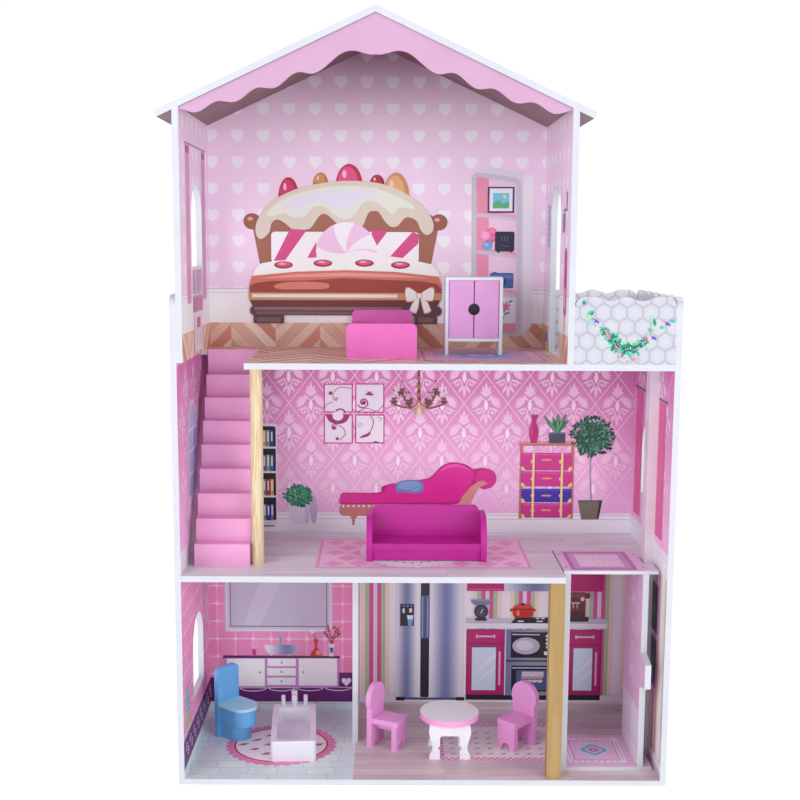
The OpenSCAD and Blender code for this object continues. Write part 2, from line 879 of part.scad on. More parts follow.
module chair_left_back() color("orchid") on_chair_left() chair_back();
module chair_left_seat() color("orchid") on_chair_left() chair_seat();
module chair_left_legs() color("orchid") on_chair_left() chair_legs();
module chair_right_back() color("orchid") on_chair_right() chair_back();
module chair_right_seat() color("orchid") on_chair_right() chair_seat();
module chair_right_legs() color("orchid") on_chair_right() chair_legs();

bottom_panel();
second_floor();
third_floor();
left_side_wall();
right_side_wall();
ground_partition();
ground_back_panel();
second_back_panel();
attic_back_panel();
attic_left_wall();
attic_right_wall();
roof_left_panel();
roof_right_panel();
roof_fascia();
terrace_front_rail();
terrace_rear_rail();
stair_stringers();
stair_risers();
stair_treads();
stair_post();
corner_post();
lift_rail();
house_screws();
back_panel_nails();
lift_floor();
lift_roof();
lift_left_wall();
lift_right_wall();
lift_screws();
bed_footboard();
bed_headboard();
bed_side_rails();
bed_base();
wardrobe_sides();
wardrobe_top();
wardrobe_bottom();
wardrobe_back();
wardrobe_hinge_pins();
wardrobe_left_door();
wardrobe_right_door();
sofa_arms();
sofa_back();
sofa_seat();
sofa_apron();
toilet_back_board();
toilet_base();
toilet_bowl();
toilet_lid();
bathtub_shell();
bathtub_taps();
bathtub_spout();
table_top();
table_legs();
chair_left_back();
chair_left_seat();
chair_left_legs();
chair_right_back();
chair_right_seat();
chair_right_legs();
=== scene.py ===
import math
import random

import bpy
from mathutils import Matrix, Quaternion, Vector


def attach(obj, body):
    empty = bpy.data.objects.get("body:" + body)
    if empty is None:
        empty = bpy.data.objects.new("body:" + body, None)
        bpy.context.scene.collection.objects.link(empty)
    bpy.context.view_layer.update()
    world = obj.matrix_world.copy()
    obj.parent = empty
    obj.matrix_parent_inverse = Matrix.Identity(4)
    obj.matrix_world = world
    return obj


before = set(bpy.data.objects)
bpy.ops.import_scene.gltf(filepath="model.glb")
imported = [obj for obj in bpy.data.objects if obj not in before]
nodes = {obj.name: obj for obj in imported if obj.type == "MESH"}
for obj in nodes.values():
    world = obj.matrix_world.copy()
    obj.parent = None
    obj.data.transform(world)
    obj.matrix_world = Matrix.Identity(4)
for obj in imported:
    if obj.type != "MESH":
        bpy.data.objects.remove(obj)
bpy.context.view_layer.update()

# Every number below is in millimetres in the house frame: X 0 in the middle of the
# body, Y 0 on the front plane, Z 0 on the ground.
SHIFT = Vector((8, -142, 0))
MM = 0.001
FLOOR_1, FLOOR_2, FLOOR_3 = 9, 322, 635
SIDE, BACK = 356, 280
ATTIC_LEFT, ATTIC_RIGHT = -347, 202
# The ground-floor wall papers repeat the floor's pattern up to this height
PRINTED_FLOOR = 21.5
# The lattice of the second storey: one crossing of its lines and its diamonds' size
LATTICE_X, LATTICE_Z = -182, 494
LATTICE_WIDE, LATTICE_TALL = 73, 94.5
# The lift's board thickness, and where the inner face of its right wall stands
LIFT_BOARD, LIFT_INSIDE = 5, 329

# Board edges' white, painted darker than the paint's own white because the lamps light the front edges
# strongly; faces with less light get lighter copies
WHITE = (207, 210, 219)
PAPER = (236, 234, 243)
CHARCOAL = (32, 30, 42)
CERISE = (193, 22, 116)
PLUM = (104, 32, 116)


def linear(rgb):
    """A colour in 0-255 as linear RGBA."""
    return tuple(
        c / 3294.6 if c <= 10 else ((c / 255 + 0.055) / 1.055) ** 2.4 for c in rgb
    ) + (1.0,)


def lighter(rgb, step):
    return tuple(min(255, c + step) for c in rgb)


def scaled(rgb, factor):
    return tuple(min(255, c * factor) for c in rgb)


# ------------------------------------------------------------------ node graphs


class Graph:
    """A material's node tree with short calls for maths and colour."""

    def __init__(self, name):
        self.material = bpy.data.materials.new(name)
        self.material.use_nodes = True
        self.tree = self.material.node_tree
        self.surface = self.tree.nodes["Principled BSDF"]
        self.object_coords = self.node("TexCoord").outputs["Object"]
        split = self.node("SeparateXYZ")
        self.feed(split.inputs[0], self.object_coords)
        self.x, self.y, self.z = (
            self.math("MULTIPLY_ADD", out, 1 / MM, -move)
            for out, move in zip(split.outputs, SHIFT)
        )

    def node(self, kind, **settings):
        made = self.tree.nodes.new("ShaderNode" + kind)
        for key, value in settings.items():
            setattr(made, key, value)
        return made

    def feed(self, socket, value):
        if isinstance(value, bpy.types.NodeSocket):
            self.tree.links.new(value, socket)
        else:
            socket.default_value = value

    def math(self, operation, *values):
        made = self.node("Math", operation=operation)
        for socket, value in zip(made.inputs, values):
            self.feed(socket, value)
        return made.outputs[0]

    def mix(self, factor, a, b):
        made = self.node("Mix", data_type="RGBA")
        for index, value in ((0, factor), (6, a), (7, b)):
            colour = index > 0 and not isinstance(value, bpy.types.NodeSocket)
            self.feed(made.inputs[index], linear(value) if colour else value)
        return made.outputs[2]

    def above(self, value, level):
        return self.math("GREATER_THAN", value, level)

    def below(self, value, level):
        return self.math("LESS_THAN", value, level)

    def times(self, a, b):
        """The product; of two masks, where both hold."""
        return self.math("MULTIPLY", a, b)

    def between(self, value, low, high):
        return self.times(self.above(value, low), self.below(value, high))

    def cell(self, value, start, period):
        """Distance in mm from the middle of each repeat."""
        turns = self.math("MULTIPLY_ADD", value, 1 / period, 0.5 - start / period)
        return self.math("MULTIPLY_ADD", self.math("FRACT", turns), period, -period / 2)

    def off(self, value, start, period):
        """The same distance without its sign."""
        return self.math("ABSOLUTE", self.cell(value, start, period))

    def index(self, value, start, period):
        turns = self.math("MULTIPLY_ADD", value, 1 / period, 0.5 - start / period)
        return self.math("FLOOR", turns)

    def point(self, x=0.0, y=0.0, z=0.0):
        made = self.node("CombineXYZ")
        for socket, value in zip(made.inputs, (x, y, z)):
            self.feed(socket, value)
        return made.outputs[0]

    def noise(self, vector, scale, detail=3.0, rough=0.55):
        made = self.node("TexNoise")
        self.feed(made.inputs["Vector"], vector)
        for key, value in (("Scale", scale), ("Detail", detail), ("Roughness", rough)):
            self.feed(made.inputs[key], value)
        return made.outputs["Fac"]

    def chance(self, *values):
        """A fixed random number for each whole-number cell."""
        made = self.node("TexWhiteNoise", noise_dimensions="3D")
        self.feed(made.inputs["Vector"], self.point(*values))
        return made.outputs["Value"]

    def remap(self, value, low, high, out_low=0.0, out_high=1.0):
        made = self.node("MapRange")
        for socket, number in zip(made.inputs, (value, low, high, out_low, out_high)):
            self.feed(socket, number)
        return made.outputs[0]

    def facing(self, side):
        """1 where the surface looks along an axis such as '+x'."""
        split = self.node("SeparateXYZ")
        self.feed(split.inputs[0], self.node("NewGeometry").outputs["True Normal"])
        part = split.outputs["xyz".index(side[1])]
        sign = 1 if side[0] == "+" else -1
        return self.above(self.times(part, sign), 0.7)

    def finish(self, colour, rough=0.42, mottle=0.05, metal=0.0):
        """Fine grain, soft mottling, uneven gloss and faint scuffs over a colour."""
        grain, bump, bump_height = 900.0, 0.12, 0.0004
        cloud = self.noise(self.object_coords, 14.0, 4.0)
        fine = self.noise(self.object_coords, grain, 2.0)
        scuff = self.remap(self.noise(self.object_coords, 55.0, 6.0, 0.7), 0.66, 0.8)
        shade = self.node("HueSaturation")
        tone = self.math("ADD", cloud, self.math("MULTIPLY", fine, 0.35))
        self.feed(shade.inputs["Value"], self.remap(tone, 0.3, 1.1, 1 - mottle, 1 + mottle))
        self.feed(shade.inputs["Color"], self.mix(self.math("MULTIPLY", scuff, 0.1), colour, PAPER))
        self.feed(self.surface.inputs["Base Color"], shade.outputs[0])
        gloss = self.math("ADD", cloud, self.math("MULTIPLY", scuff, 0.5))
        self.feed(self.surface.inputs["Roughness"], self.remap(gloss, 0.2, 1.0, rough - 0.07, rough + 0.16))
        self.feed(self.surface.inputs["Metallic"], metal)
        relief = self.node("Bump")
        self.feed(relief.inputs["Strength"], bump)
        self.feed(relief.inputs["Distance"], bump_height)
        self.feed(relief.inputs["Height"], fine)
        self.feed(self.surface.inputs["Normal"], relief.outputs[0])
        return self.material


# ------------------------------------------------------------------ printed papers


def hearts(g, u, v):
    """Pale hearts in rows on pink paper, with painted shade darkening paper and hearts towards the top under
    the roof.
    """
    a = g.times(g.cell(u, -131, 42), 1 / 9.2)
    b = g.math("MULTIPLY_ADD", g.cell(v, 934, 42.2), 1 / 9.2, 0.1)
    a2, b2 = g.times(a, a), g.times(b, b)
    ring = g.math("SUBTRACT", g.math("ADD", a2, b2), 1.0)
    cube = g.times(ring, g.times(ring, ring))
    heart = g.below(cube, g.times(a2, g.times(b2, b)))
    # Painted shade: a faint darkening from the dado upwards, then a steep one near the ridge
    painted_top_shade = g.remap(v, 730, 1080)
    painted_ridge_shade = g.math("POWER", g.remap(v, 930, 1110), 2.1)
    paper = g.mix(painted_ridge_shade, g.mix(painted_top_shade, (247, 222, 245), (244, 218, 242)), (148, 104, 128))
    pale = g.mix(painted_ridge_shade, g.mix(painted_top_shade, (250, 247, 254), (244, 240, 252)), (164, 140, 160))
    return g.mix(heart, paper, pale)


def zigzag(g, u, v):
    """Parquet planks laid in wide V shapes."""
    start, wide, plank = -313, 147, 22
    fold = g.off(u, start, wide)
    slant = g.math("ADD", v, fold)
    row, side = g.index(slant, 0, plank), g.above(g.cell(u, start, wide), 0)
    chance = g.chance(row, side, g.index(u, start, wide))
    turn = g.math("ABSOLUTE", g.math("MODULO", g.math("ADD", row, side), 2))
    tone = g.math("ADD", g.times(chance, 0.5), g.times(turn, 0.5))
    along = g.times(g.math("SUBTRACT", v, fold), 0.02)
    streak = g.noise(g.point(g.times(slant, 0.25), along), 1.0)
    wood = g.mix(tone, (214, 144, 122), (255, 242, 226))
    wood = g.mix(g.remap(streak, 0.35, 0.65, 0, 0.3), wood, (202, 136, 114))
    gap = g.above(g.off(slant, 0, plank), 10.6)
    return g.mix(g.times(gap, 0.5), wood, (140, 84, 70))


def bedroom(g, u, v):
    """Hearts above a white panelled dado with a strip of parquet below it."""
    paper = hearts(g, u, v)
    panel = g.above(g.off(u, -300, 84), 41.4)
    dado = g.mix(g.times(panel, 0.6), (250, 250, 253), (226, 220, 234))
    rail = g.math("MAXIMUM", g.between(v, 729.5, 731), g.between(v, 724, 725))
    dado = g.mix(rail, dado, (206, 200, 220))
    paper = g.mix(g.below(v, 731), paper, dado)
    return g.mix(g.below(v, 675), paper, zigzag(g, u, v))


def lattice(g, u, v):
    """Pink paper with a white diamond lattice, above a white skirting; the paper carries painted shade,
    darker towards the ceiling.
    """
    # Painted shade: the pink darkens towards the ceiling
    painted_top_shade = g.remap(v, 380, 620)
    paper = g.mix(painted_top_shade, (244, 190, 232), (214, 118, 180))
    lines = []
    for sign in (1, -1):
        slant = g.math("MULTIPLY_ADD", v, sign * LATTICE_WIDE / LATTICE_TALL, u)
        shift = LATTICE_X + sign * LATTICE_Z * LATTICE_WIDE / LATTICE_TALL
        lines.append(g.below(g.off(slant, shift, LATTICE_WIDE), 0.9))
    paper = g.mix(g.times(g.math("MAXIMUM", *lines), 0.8), paper, (248, 224, 242))
    board = g.mix(g.remap(v, 322, 352), (240, 240, 248), (250, 250, 254))
    line = g.math("MAXIMUM", g.between(v, 351, 352.2), g.between(v, 344, 345))
    board = g.mix(line, board, (208, 200, 222))
    return g.mix(g.below(v, 355), paper, board)


def laminate(deep, pale, vein):
    """Laminate boards running along u, in three given tones."""
    start, plank, length = 8, 20, 190

    def paper(g, u, v):
        row = g.index(v, start, plank)
        along = g.math("ADD", u, g.times(g.chance(row, 3.0), 260.0))
        tone = g.chance(row, g.index(along, 0, length), 7.0)
        stretched = g.point(g.times(along, 0.008), g.times(v, 0.22), tone)
        grain = g.noise(stretched, 1.0, 5.0)
        wood = g.mix(tone, deep, pale)
        wood = g.mix(g.remap(grain, 0.35, 0.65, 0, 0.55), wood, vein)
        gap = g.above(g.off(v, start, plank), 9.8)
        return g.mix(g.times(gap, 0.35), wood, (166, 134, 142))

    return paper


laminate_ground = laminate((212, 192, 198), (238, 226, 230), (190, 164, 170))
laminate_second = laminate((220, 220, 226), (246, 246, 250), (202, 194, 202))


def paving(g, u, v):
    """Pale stone blocks in staggered rows."""
    start, course, length = 6, 24, 44
    row = g.index(v, start, course)
    along = g.math("ADD", u, g.times(g.chance(row, 5.0), length))
    tone = g.chance(row, g.index(along, 0, length), 2.0)
    stone = g.mix(tone, (220, 240, 243), (234, 246, 243))
    vein = g.noise(g.point(g.times(u, 0.05), g.times(v, 0.12)), 1.0, 5.0)
    stone = g.mix(g.remap(vein, 0.4, 0.7, 0, 0.35), stone, (200, 222, 228))
    joint = g.math(
        "MAXIMUM",
        g.above(g.off(v, start, course), 11.4),
        g.above(g.off(along, 0, length), 21.4),
    )
    return g.mix(g.times(joint, 0.6), stone, (178, 190, 200))


def tiles(g, u, v):
    """Pink bathroom tiles above a purple skirting and a strip of printed paving."""
    across, up = (u, -328.3, 30.6), (v, 149, 31.2)
    a, b = g.off(*across), g.off(*up)
    joint = g.above(g.math("MAXIMUM", a, b), 14.8)
    star = g.above(g.math("ADD", a, b), 26.4)
    tone = g.chance(g.index(*across), g.index(*up), 1.0)
    tile = g.mix(tone, (242, 156, 200), (237, 144, 192))
    tile = g.mix(g.math("MAXIMUM", joint, star), tile, (248, 214, 236))
    tile = g.mix(g.below(v, 65), tile, PLUM)
    return g.mix(g.below(v, PRINTED_FLOOR), tile, paving(g, u, v))


def stripes(g, u, v):
    """Kitchen stripes above a white skirting and a strip of printed laminate."""
    off = g.off(u, -73.6, 63.7)
    paper = (238, 222, 240)
    bands = (
        (3.3, (222, 90, 166)), (10.3, (182, 206, 162)), (17.3, (246, 220, 218)),
        (24.4, (246, 240, 248)),
    )
    for edge, colour in bands:
        paper = g.mix(g.above(off, edge), paper, colour)
    paper = g.mix(g.below(v, 35), paper, (238, 236, 246))
    paper = g.mix(g.between(v, 33.4, 34.4), paper, (206, 200, 218))
    return g.mix(g.below(v, PRINTED_FLOOR), paper, laminate_ground(g, u, v))


def hexagons(middle, rim, joint):
    """Hexagon tiles with soft grey joints, in three given tones."""
    width, height, flatten = 22.4, 40.8, 0.951
    start_u, start_v = 5.1, 15.5

    def paper(g, u, v):
        near = None
        for shift in (0, 0.5):
            a = g.off(u, start_u + shift * width, width)
            b = g.off(v, start_v + shift * height, height)
            slant = g.math("MULTIPLY_ADD", a, 0.5, g.times(b, 0.866 * flatten))
            edge = g.math("MAXIMUM", a, slant)
            near = edge if near is None else g.math("MINIMUM", near, edge)
        tile = g.mix(g.remap(near, 2, 9.3), middle, rim)
        return g.mix(g.remap(near, 9.2, 10.6), tile, joint)

    return paper


# The terrace's outer faces catch the lamps, so their copy of the hexagons is painted darker; its inner faces
# lie in shade, so their copy is painted paler to stand in for the missing light
hexagons_darkened_for_lamps = hexagons((199, 201, 211), (193, 195, 206), (176, 173, 184))
hexagons_paler_for_shade = hexagons((250, 251, 254), (242, 243, 250), (214, 212, 222))


def plain(*rgb):
    return lambda g, u, v: g.mix(g.noise(g.object_coords, 40.0), rgb, scaled(rgb, 0.97))


def choose(level, below, above):
    """One paper where u is under a level, another beyond it."""
    return lambda g, u, v: g.mix(g.above(u, level), below(g, u, v), above(g, u, v))


def storeys(first, second, third):
    """Three papers one above the other."""

    def paper(g, u, v):
        low = g.mix(g.above(v, FLOOR_2 - 5), first(g, u, v), second(g, u, v))
        return g.mix(g.above(v, FLOOR_3 - 5), low, third(g, u, v))

    return paper


def board(name, edge=WHITE, **papers):
    """Board with a paper on some faces, named px, nx, py, ny, pz, nz, and plain edges."""
    g = Graph(name)
    colour = g.mix(g.noise(g.object_coords, 90.0), edge, scaled(edge, 0.985))
    for key, paper in papers.items():
        side = ("+" if key[0] == "p" else "-") + key[1]
        u, v = {"x": (g.y, g.z), "y": (g.x, g.z), "z": (g.x, g.y)}[key[1]]
        colour = g.mix(g.facing(side), colour, paper(g, u, v))
    return g.finish(colour, 0.4)


def paint(name, rgb, rough=0.36, mottle=0.05):
    """Sprayed paint on MDF: slightly uneven, with faint wear."""
    g = Graph(name)
    cloud = g.noise(g.object_coords, 26.0, 4.0)
    return g.finish(g.mix(g.remap(cloud, 0.35, 0.7, 0, 0.5), rgb, scaled(rgb, 0.93)), rough, mottle=mottle)


def timber(name, light, dark, ring=26.0):
    """Turned or planed softwood with long grain along Z."""
    g = Graph(name)
    shrunk = ((g.x, 0.11), (g.y, 0.11), (g.z, 0.0045))
    stretched = g.point(*(g.times(axis, factor) for axis, factor in shrunk))
    slow = g.noise(stretched, 1.0, 2.0)
    rings = g.math("ABSOLUTE", g.math("SINE", g.times(slow, ring)))
    fibre = g.noise(g.point(g.x, g.y, g.times(g.z, 0.03)), 1.3, 4.0)
    wood = g.mix(g.math("POWER", rings, 2.0), light, dark)
    return g.finish(g.mix(g.remap(fibre, 0.3, 0.7, 0, 0.35), wood, dark), 0.5, mottle=0.04)


def steel(name):
    """Zinc-plated steel with fine scratches."""
    g = Graph(name)
    scratch = g.noise(g.point(g.times(g.x, 2.2), g.y, g.times(g.z, 0.4)), 1.0, 5.0)
    return g.finish(g.mix(scratch, (150, 152, 158), (206, 208, 214)), 0.32, metal=0.9)


def soften(width, *names):
    """Rounds the sharp edges of CAD nodes."""
    for name in names:
        mod = nodes[name].modifiers.new("soft edges", "BEVEL")
        mod.width, mod.segments, mod.limit_method = width * MM, 2, "ANGLE"
        mod.angle_limit = math.radians(40)
        mod.use_clamp_overlap = True
        mod.harden_normals = True


def dress(material, *names, edge=0.0):
    for name in names:
        nodes[name].data.materials.clear()
        nodes[name].data.materials.append(material)
    if edge:
        soften(edge, *names)


WALL_BACK = (236, 236, 244)
plain_white = plain(*WHITE)
dress(board("floor_ground", pz=choose(-104, paving, laminate_ground)), "bottom_panel")
dress(board("floor_second", pz=laminate_second, nz=plain(232, 220, 232)), "second_floor")
# The terrace floor takes the hexagons painted paler for its shade
attic_floor = choose(ATTIC_RIGHT + 4, zigzag, hexagons_paler_for_shade)
dress(board("floor_third", pz=attic_floor, nz=plain(232, 220, 232)), "third_floor")
dress(board("wall_left", px=storeys(tiles, lattice, plain_white)), "left_side_wall")
# Top faces get a white painted lighter than the edges' white, as they catch less light; the right wall's
# third storey takes the hexagons painted paler for shade
top_white_lighter_for_shade = plain(246, 247, 252)
right_papers = storeys(stripes, lattice, hexagons_paler_for_shade)
dress(board("wall_right", pz=top_white_lighter_for_shade, nx=right_papers), "right_side_wall")
dress(board("partition_papers", nx=tiles, px=stripes), "ground_partition")
dress(board("back_ground", WALL_BACK, ny=choose(-104, tiles, stripes)), "ground_back_panel")
dress(board("back_second", WALL_BACK, ny=lattice), "second_back_panel")
dress(board("back_attic", WALL_BACK, ny=bedroom), "attic_back_panel")
dress(board("wall_attic_left", px=bedroom), "attic_left_wall")
dress(board("wall_attic_right", nx=bedroom), "attic_right_wall")
# The roof's top takes the white painted lighter for the weak light from above
roof_paper = board("roof_board", pz=top_white_lighter_for_shade, nz=plain(118, 80, 82))
dress(roof_paper, "roof_left_panel", "roof_right_panel")
dress(board("fascia_pink", (203, 161, 194)), "roof_fascia")
# Painted light on the rails: the lamp-lit outer face takes the darker hexagons, the shaded faces the paler
# copy and the rear rail's top the lighter white
dress(board("terrace_front", ny=hexagons_darkened_for_lamps, py=hexagons_paler_for_shade), "terrace_front_rail")
rear_rail = board("terrace_rear", pz=top_white_lighter_for_shade, ny=hexagons_paler_for_shade, py=hexagons_paler_for_shade)
dress(rear_rail, "terrace_rear_rail")
dress(paint("stair_pink", (238, 168, 214)), "stair_stringers", "stair_risers", "stair_treads", edge=0.6)
dress(timber("pine", (232, 222, 190), (208, 182, 138)), "stair_post")
dress(timber("beech", (178, 148, 96), (167, 135, 84), 9.0), "corner_post", edge=0.6)
dress(paint("rail_white", (232, 222, 232)), "lift_rail", edge=0.6)
dress(steel("screw_steel"), "house_screws", "back_panel_nails", "lift_screws", "wardrobe_hinge_pins")
dress(board("lift_panels", pz=plain(244, 208, 236), nz=plain(238, 210, 230)), "lift_floor", "lift_roof")
dress(board("lift_left_paper", px=plain(232, 194, 234), nx=plain(238, 206, 230)), "lift_left_wall")
dress(board("lift_right_paper", nx=plain(232, 192, 222), px=plain(238, 210, 230)), "lift_right_wall")
bed_parts = ("bed_footboard", "bed_headboard", "bed_side_rails", "bed_base")
dress(paint("bed_pink", (232, 112, 196)), *bed_parts, edge=0.8)
wardrobe_parts = ("wardrobe_sides", "wardrobe_top", "wardrobe_bottom", "wardrobe_back")
dress(paint("wardrobe_white", (226, 228, 238)), *wardrobe_parts, edge=0.4)
dress(paint("wardrobe_door_pink", (226, 164, 222)), "wardrobe_left_door", "wardrobe_right_door")
dress(paint("sofa_magenta", (190, 26, 150)), "sofa_arms", "sofa_back", "sofa_seat", "sofa_apron", edge=0.8)
dress(paint("toilet_blue", (110, 184, 240)), "toilet_back_board", "toilet_base", "toilet_bowl", edge=0.8)
dress(paint("toilet_lid_blue", (172, 230, 246)), "toilet_lid", edge=0.6)
dress(paint("bath_white", (236, 234, 246), 0.22), "bathtub_shell", "bathtub_taps", "bathtub_spout", edge=0.8)
dress(board("table_paint", (244, 164, 218), pz=plain(250, 251, 254)), "table_top", edge=0.6)
dress(paint("table_white", (242, 242, 250)), "table_legs", edge=0.6)
chair_parts = [n for n in nodes if n.startswith("chair_")]
dress(paint("chair_pink", (238, 164, 224)), *chair_parts, edge=0.8)

# ------------------------------------------------------------------ drawing kit


def flat(axis, level, sign):
    """A face of the house to draw on: turns (u, v, height above it) into a place."""

    def place(u, v, height):
        at = [u, v]
        at.insert("xyz".index(axis), level + sign * height)
        return (Vector(at) + SHIFT) * MM

    return place


BACK_WALL = flat("y", BACK, -1)
LEFT_WALL = flat("x", -SIDE, 1)
RIGHT_WALL = flat("x", SIDE, -1)
ATTIC_LEFT_WALL = flat("x", ATTIC_LEFT, 1)
ATTIC_RIGHT_WALL = flat("x", ATTIC_RIGHT, -1)
GROUND_FLOOR = flat("z", FLOOR_1, 1)
SECOND_FLOOR = flat("z", FLOOR_2, 1)
ATTIC_FLOOR = flat("z", FLOOR_3, 1)
LIFT_FLOOR = flat("z", FLOOR_1 + LIFT_BOARD, 1)
LIFT_WALL = flat("x", LIFT_INSIDE, -1)
TERRACE_FRONT = flat("y", 0, -1)


def inset(a, b, edge):
    """Rectangle a given edge inside two corners."""
    return rect((a[0] + edge, a[1] + edge), (b[0] - edge, b[1] - edge))


def rect(a, b):
    return [[(a[0], a[1]), (b[0], a[1]), (b[0], b[1]), (a[0], b[1])]]


def poly(*points):
    return [list(points)]


def around(centre, across, up, turn):
    """Place on an oval at a turn in radians."""
    return (centre[0] + across * math.cos(turn), centre[1] + up * math.sin(turn))


def disc(centre, across, up=None, start=0, stop=360):
    """Oval, or the part of it between two angles."""
    up = across if up is None else up
    sweep = stop - start
    count = max(12, int(sweep / 12))
    turns = [math.radians(start + sweep * k / count) for k in range(count + (sweep < 360))]
    return [[around(centre, across, up, t) for t in turns]]


def wedge(centre, radius, start, stop, twist=0):
    """Slice of a disc; with a twist its two sides bend like a pinwheel's blade."""
    rim = disc(centre, radius, radius, start, stop)[0]
    if not twist:
        return [[centre] + rim]
    sides = []
    for angle in (start, stop):
        bends = [(radius * (1 - k / 4), math.radians(angle + twist * k / 4)) for k in (1, 2, 3)]
        sides.append([around(centre, r, r, t) for r, t in bends])
    return [sides[0][::-1] + rim + sides[1] + [centre]]


def slab(a, b, r):
    """Rectangle with rounded corners."""
    x0, x1 = sorted((a[0], b[0]))
    z0, z1 = sorted((a[1], b[1]))
    r = min(r, (x1 - x0) / 2.01, (z1 - z0) / 2.01)
    corners = ((x1 - r, z0 + r, 270), (x1 - r, z1 - r, 0), (x0 + r, z1 - r, 90),
        (x0 + r, z0 + r, 180))
    return [[
        around((x, z), r, r, math.radians(turn + 22.5 * k)) for x, z, turn in corners for k in range(5)
    ]]


def curve(points, closed):
    """Smooth line through the points."""
    points = [Vector(p) for p in points]
    count = len(points)
    made = []
    for k in range(count if closed else count - 1):
        if closed:
            a, b, c, d = (points[(k + i) % count] for i in (-1, 0, 1, 2))
        else:
            a, b, c, d = (points[min(max(k + i, 0), count - 1)] for i in (-1, 0, 1, 2))
        for step in range(5):
            t = step / 5
            bend = (2 * a - 5 * b + 4 * c - d) * t * t + (3 * b - a - 3 * c + d) * t**3
            made.append(0.5 * (2 * b + (c - a) * t + bend))
    return made if closed else made + [points[-1]]


def blob(*points):
    return [[tuple(p) for p in curve(points, True)]]


def line(width, *points):
    """Ribbon along a smooth open line."""
    path = curve(points, False)
    edges = []
    for k, p in enumerate(path):
        along = (path[min(k + 1, len(path) - 1)] - path[max(k - 1, 0)]).normalized()
        across = Vector((-along.y, along.x)) * width / 2
        edges.append((tuple(p + across), tuple(p - across)))
    return [[a[0], b[0], b[1], a[1]] for a, b in zip(edges, edges[1:])]


def swirl(centre, radius, width, start=0, turns=1.25, way=1):
    """Spiral from its rim inwards, ending in a dot."""
    count = 12
    points = []
    for k in range(count + 1):
        reach = radius * (1 - 0.8 * k / count)
        angle = math.radians(start) + way * turns * math.tau * k / count
        points.append(around(centre, reach, reach, angle))
    return line(width, *points) + disc(points[-1], width)


def heart(centre, width):
    x, z, k = centre[0], centre[1], width / 32
    turns = [math.radians(12 * n) for n in range(30)]
    return [[
        (x + k * 16 * math.sin(t) ** 3,
         z + k * (13 * math.cos(t) - 5 * math.cos(2 * t) - 2 * math.cos(3 * t) - math.cos(4 * t)))
        for t in turns
    ]]


def scalloped(centre, across, up, lobes, depth):
    """Oval with a scalloped edge, drawn as one outline."""
    count = 8 * lobes
    turns = [math.tau * k / count for k in range(count)]
    sizes = [1 - depth + depth * abs(math.sin(lobes * t / 2)) for t in turns]
    return [[around(centre, across * size, up * size, t) for size, t in zip(sizes, turns)]]


def leaf(foot, angle, length, width):
    """Pointed leaf growing from its foot."""
    t = math.radians(angle)
    along, across = Vector((math.cos(t), math.sin(t))), Vector((-math.sin(t), math.cos(t)))
    shape = ((0, 0), (0.25, 0.42), (0.55, 0.5), (0.85, 0.2), (1, 0), (0.85, -0.2), (0.55, -0.5),
        (0.25, -0.42))
    return [[tuple(Vector(foot) + along * length * a + across * width * b) for a, b in shape]]


def foliage(centre, across, up, count, length, seed):
    """Leaves scattered over an oval crown, pointing outwards."""
    rng = random.Random(seed)
    made = []
    for _ in range(count):
        turn, far = rng.uniform(0, 360), math.sqrt(rng.random())
        t = math.radians(turn)
        foot = around(centre, across * far, up * far, t)
        made += leaf(foot, turn + rng.uniform(-50, 50), length * rng.uniform(0.7, 1.2),
            length * 0.42)
    return made


# A picture's first height above its face, and the steps of its layers and of their shapes
CLEAR, LAYER_STEP, SHAPE_STEP = 0.12, 0.05, 0.008


class Picture:
    """A printed picture: flat shapes just above a face, each a hair above the last."""

    def __init__(self, name, place, slot="back_board", body="house", layer=0):
        self.name, self.place, self.slot, self.body = name, place, slot, body
        self.polygons = []
        self.layer = layer

    def height(self):
        return CLEAR + LAYER_STEP * self.layer

    def add(self, colour, *shapes):
        self.layer += 1
        for k, outline in enumerate(o for shape in shapes for o in shape):
            self.polygons.append((outline, colour, self.height() + SHAPE_STEP * (k % 6)))

    def shades(self, a, b, count, tone):
        """Upright strips whose colour follows tone(0..1)."""
        self.layer += 1
        for k in range(count):
            x0, x1 = (a[0] + (b[0] - a[0]) * (k + e) / count for e in (0, 1))
            strip = rect((x0, a[1]), (x1, b[1]))[0]
            self.polygons.append((strip, tone((k + 0.5) / count), self.height()))

    def build(self):
        mesh = bpy.data.meshes.new(self.name)
        out = self.place(0, 0, 1) - self.place(0, 0, 0)
        verts, faces, inks = [], [], []
        for outline, colour, height in self.polygons:
            corners = [self.place(u, v, height) for u, v in outline]
            spokes = [corner - corners[0] for corner in corners[1:]]
            turn = sum((a.cross(b) for a, b in zip(spokes, spokes[1:])), Vector())
            if turn.dot(out) < 0:
                corners.reverse()
            faces.append(range(len(verts), len(verts) + len(corners)))
            verts += corners
            inks += [linear(colour)] * len(corners)
        mesh.from_pydata(verts, [], faces)
        layer = mesh.color_attributes.new("ink", "FLOAT_COLOR", "CORNER")
        layer.data.foreach_set("color", [value for colour in inks for value in colour])
        mesh.materials.append(INK)
        piece = bpy.data.objects.new(self.name, mesh)
        bpy.context.scene.collection.objects.link(piece)
        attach(piece, self.body)


ink_graph = Graph("printed_ink")
ink_colour = ink_graph.node("VertexColor", layer_name="ink").outputs["Color"]
INK = ink_graph.finish(ink_colour, 0.38, mottle=0.03)


def steel_tone(t):
    """Brushed-steel gradient across a door."""
    k = 0.5 + 0.5 * math.cos(math.tau * t)
    return tuple(a + (b - a) * k**0.8 for a, b in zip((122, 132, 178), (238, 236, 246)))


# ------------------------------------------------------------------ attic pictures

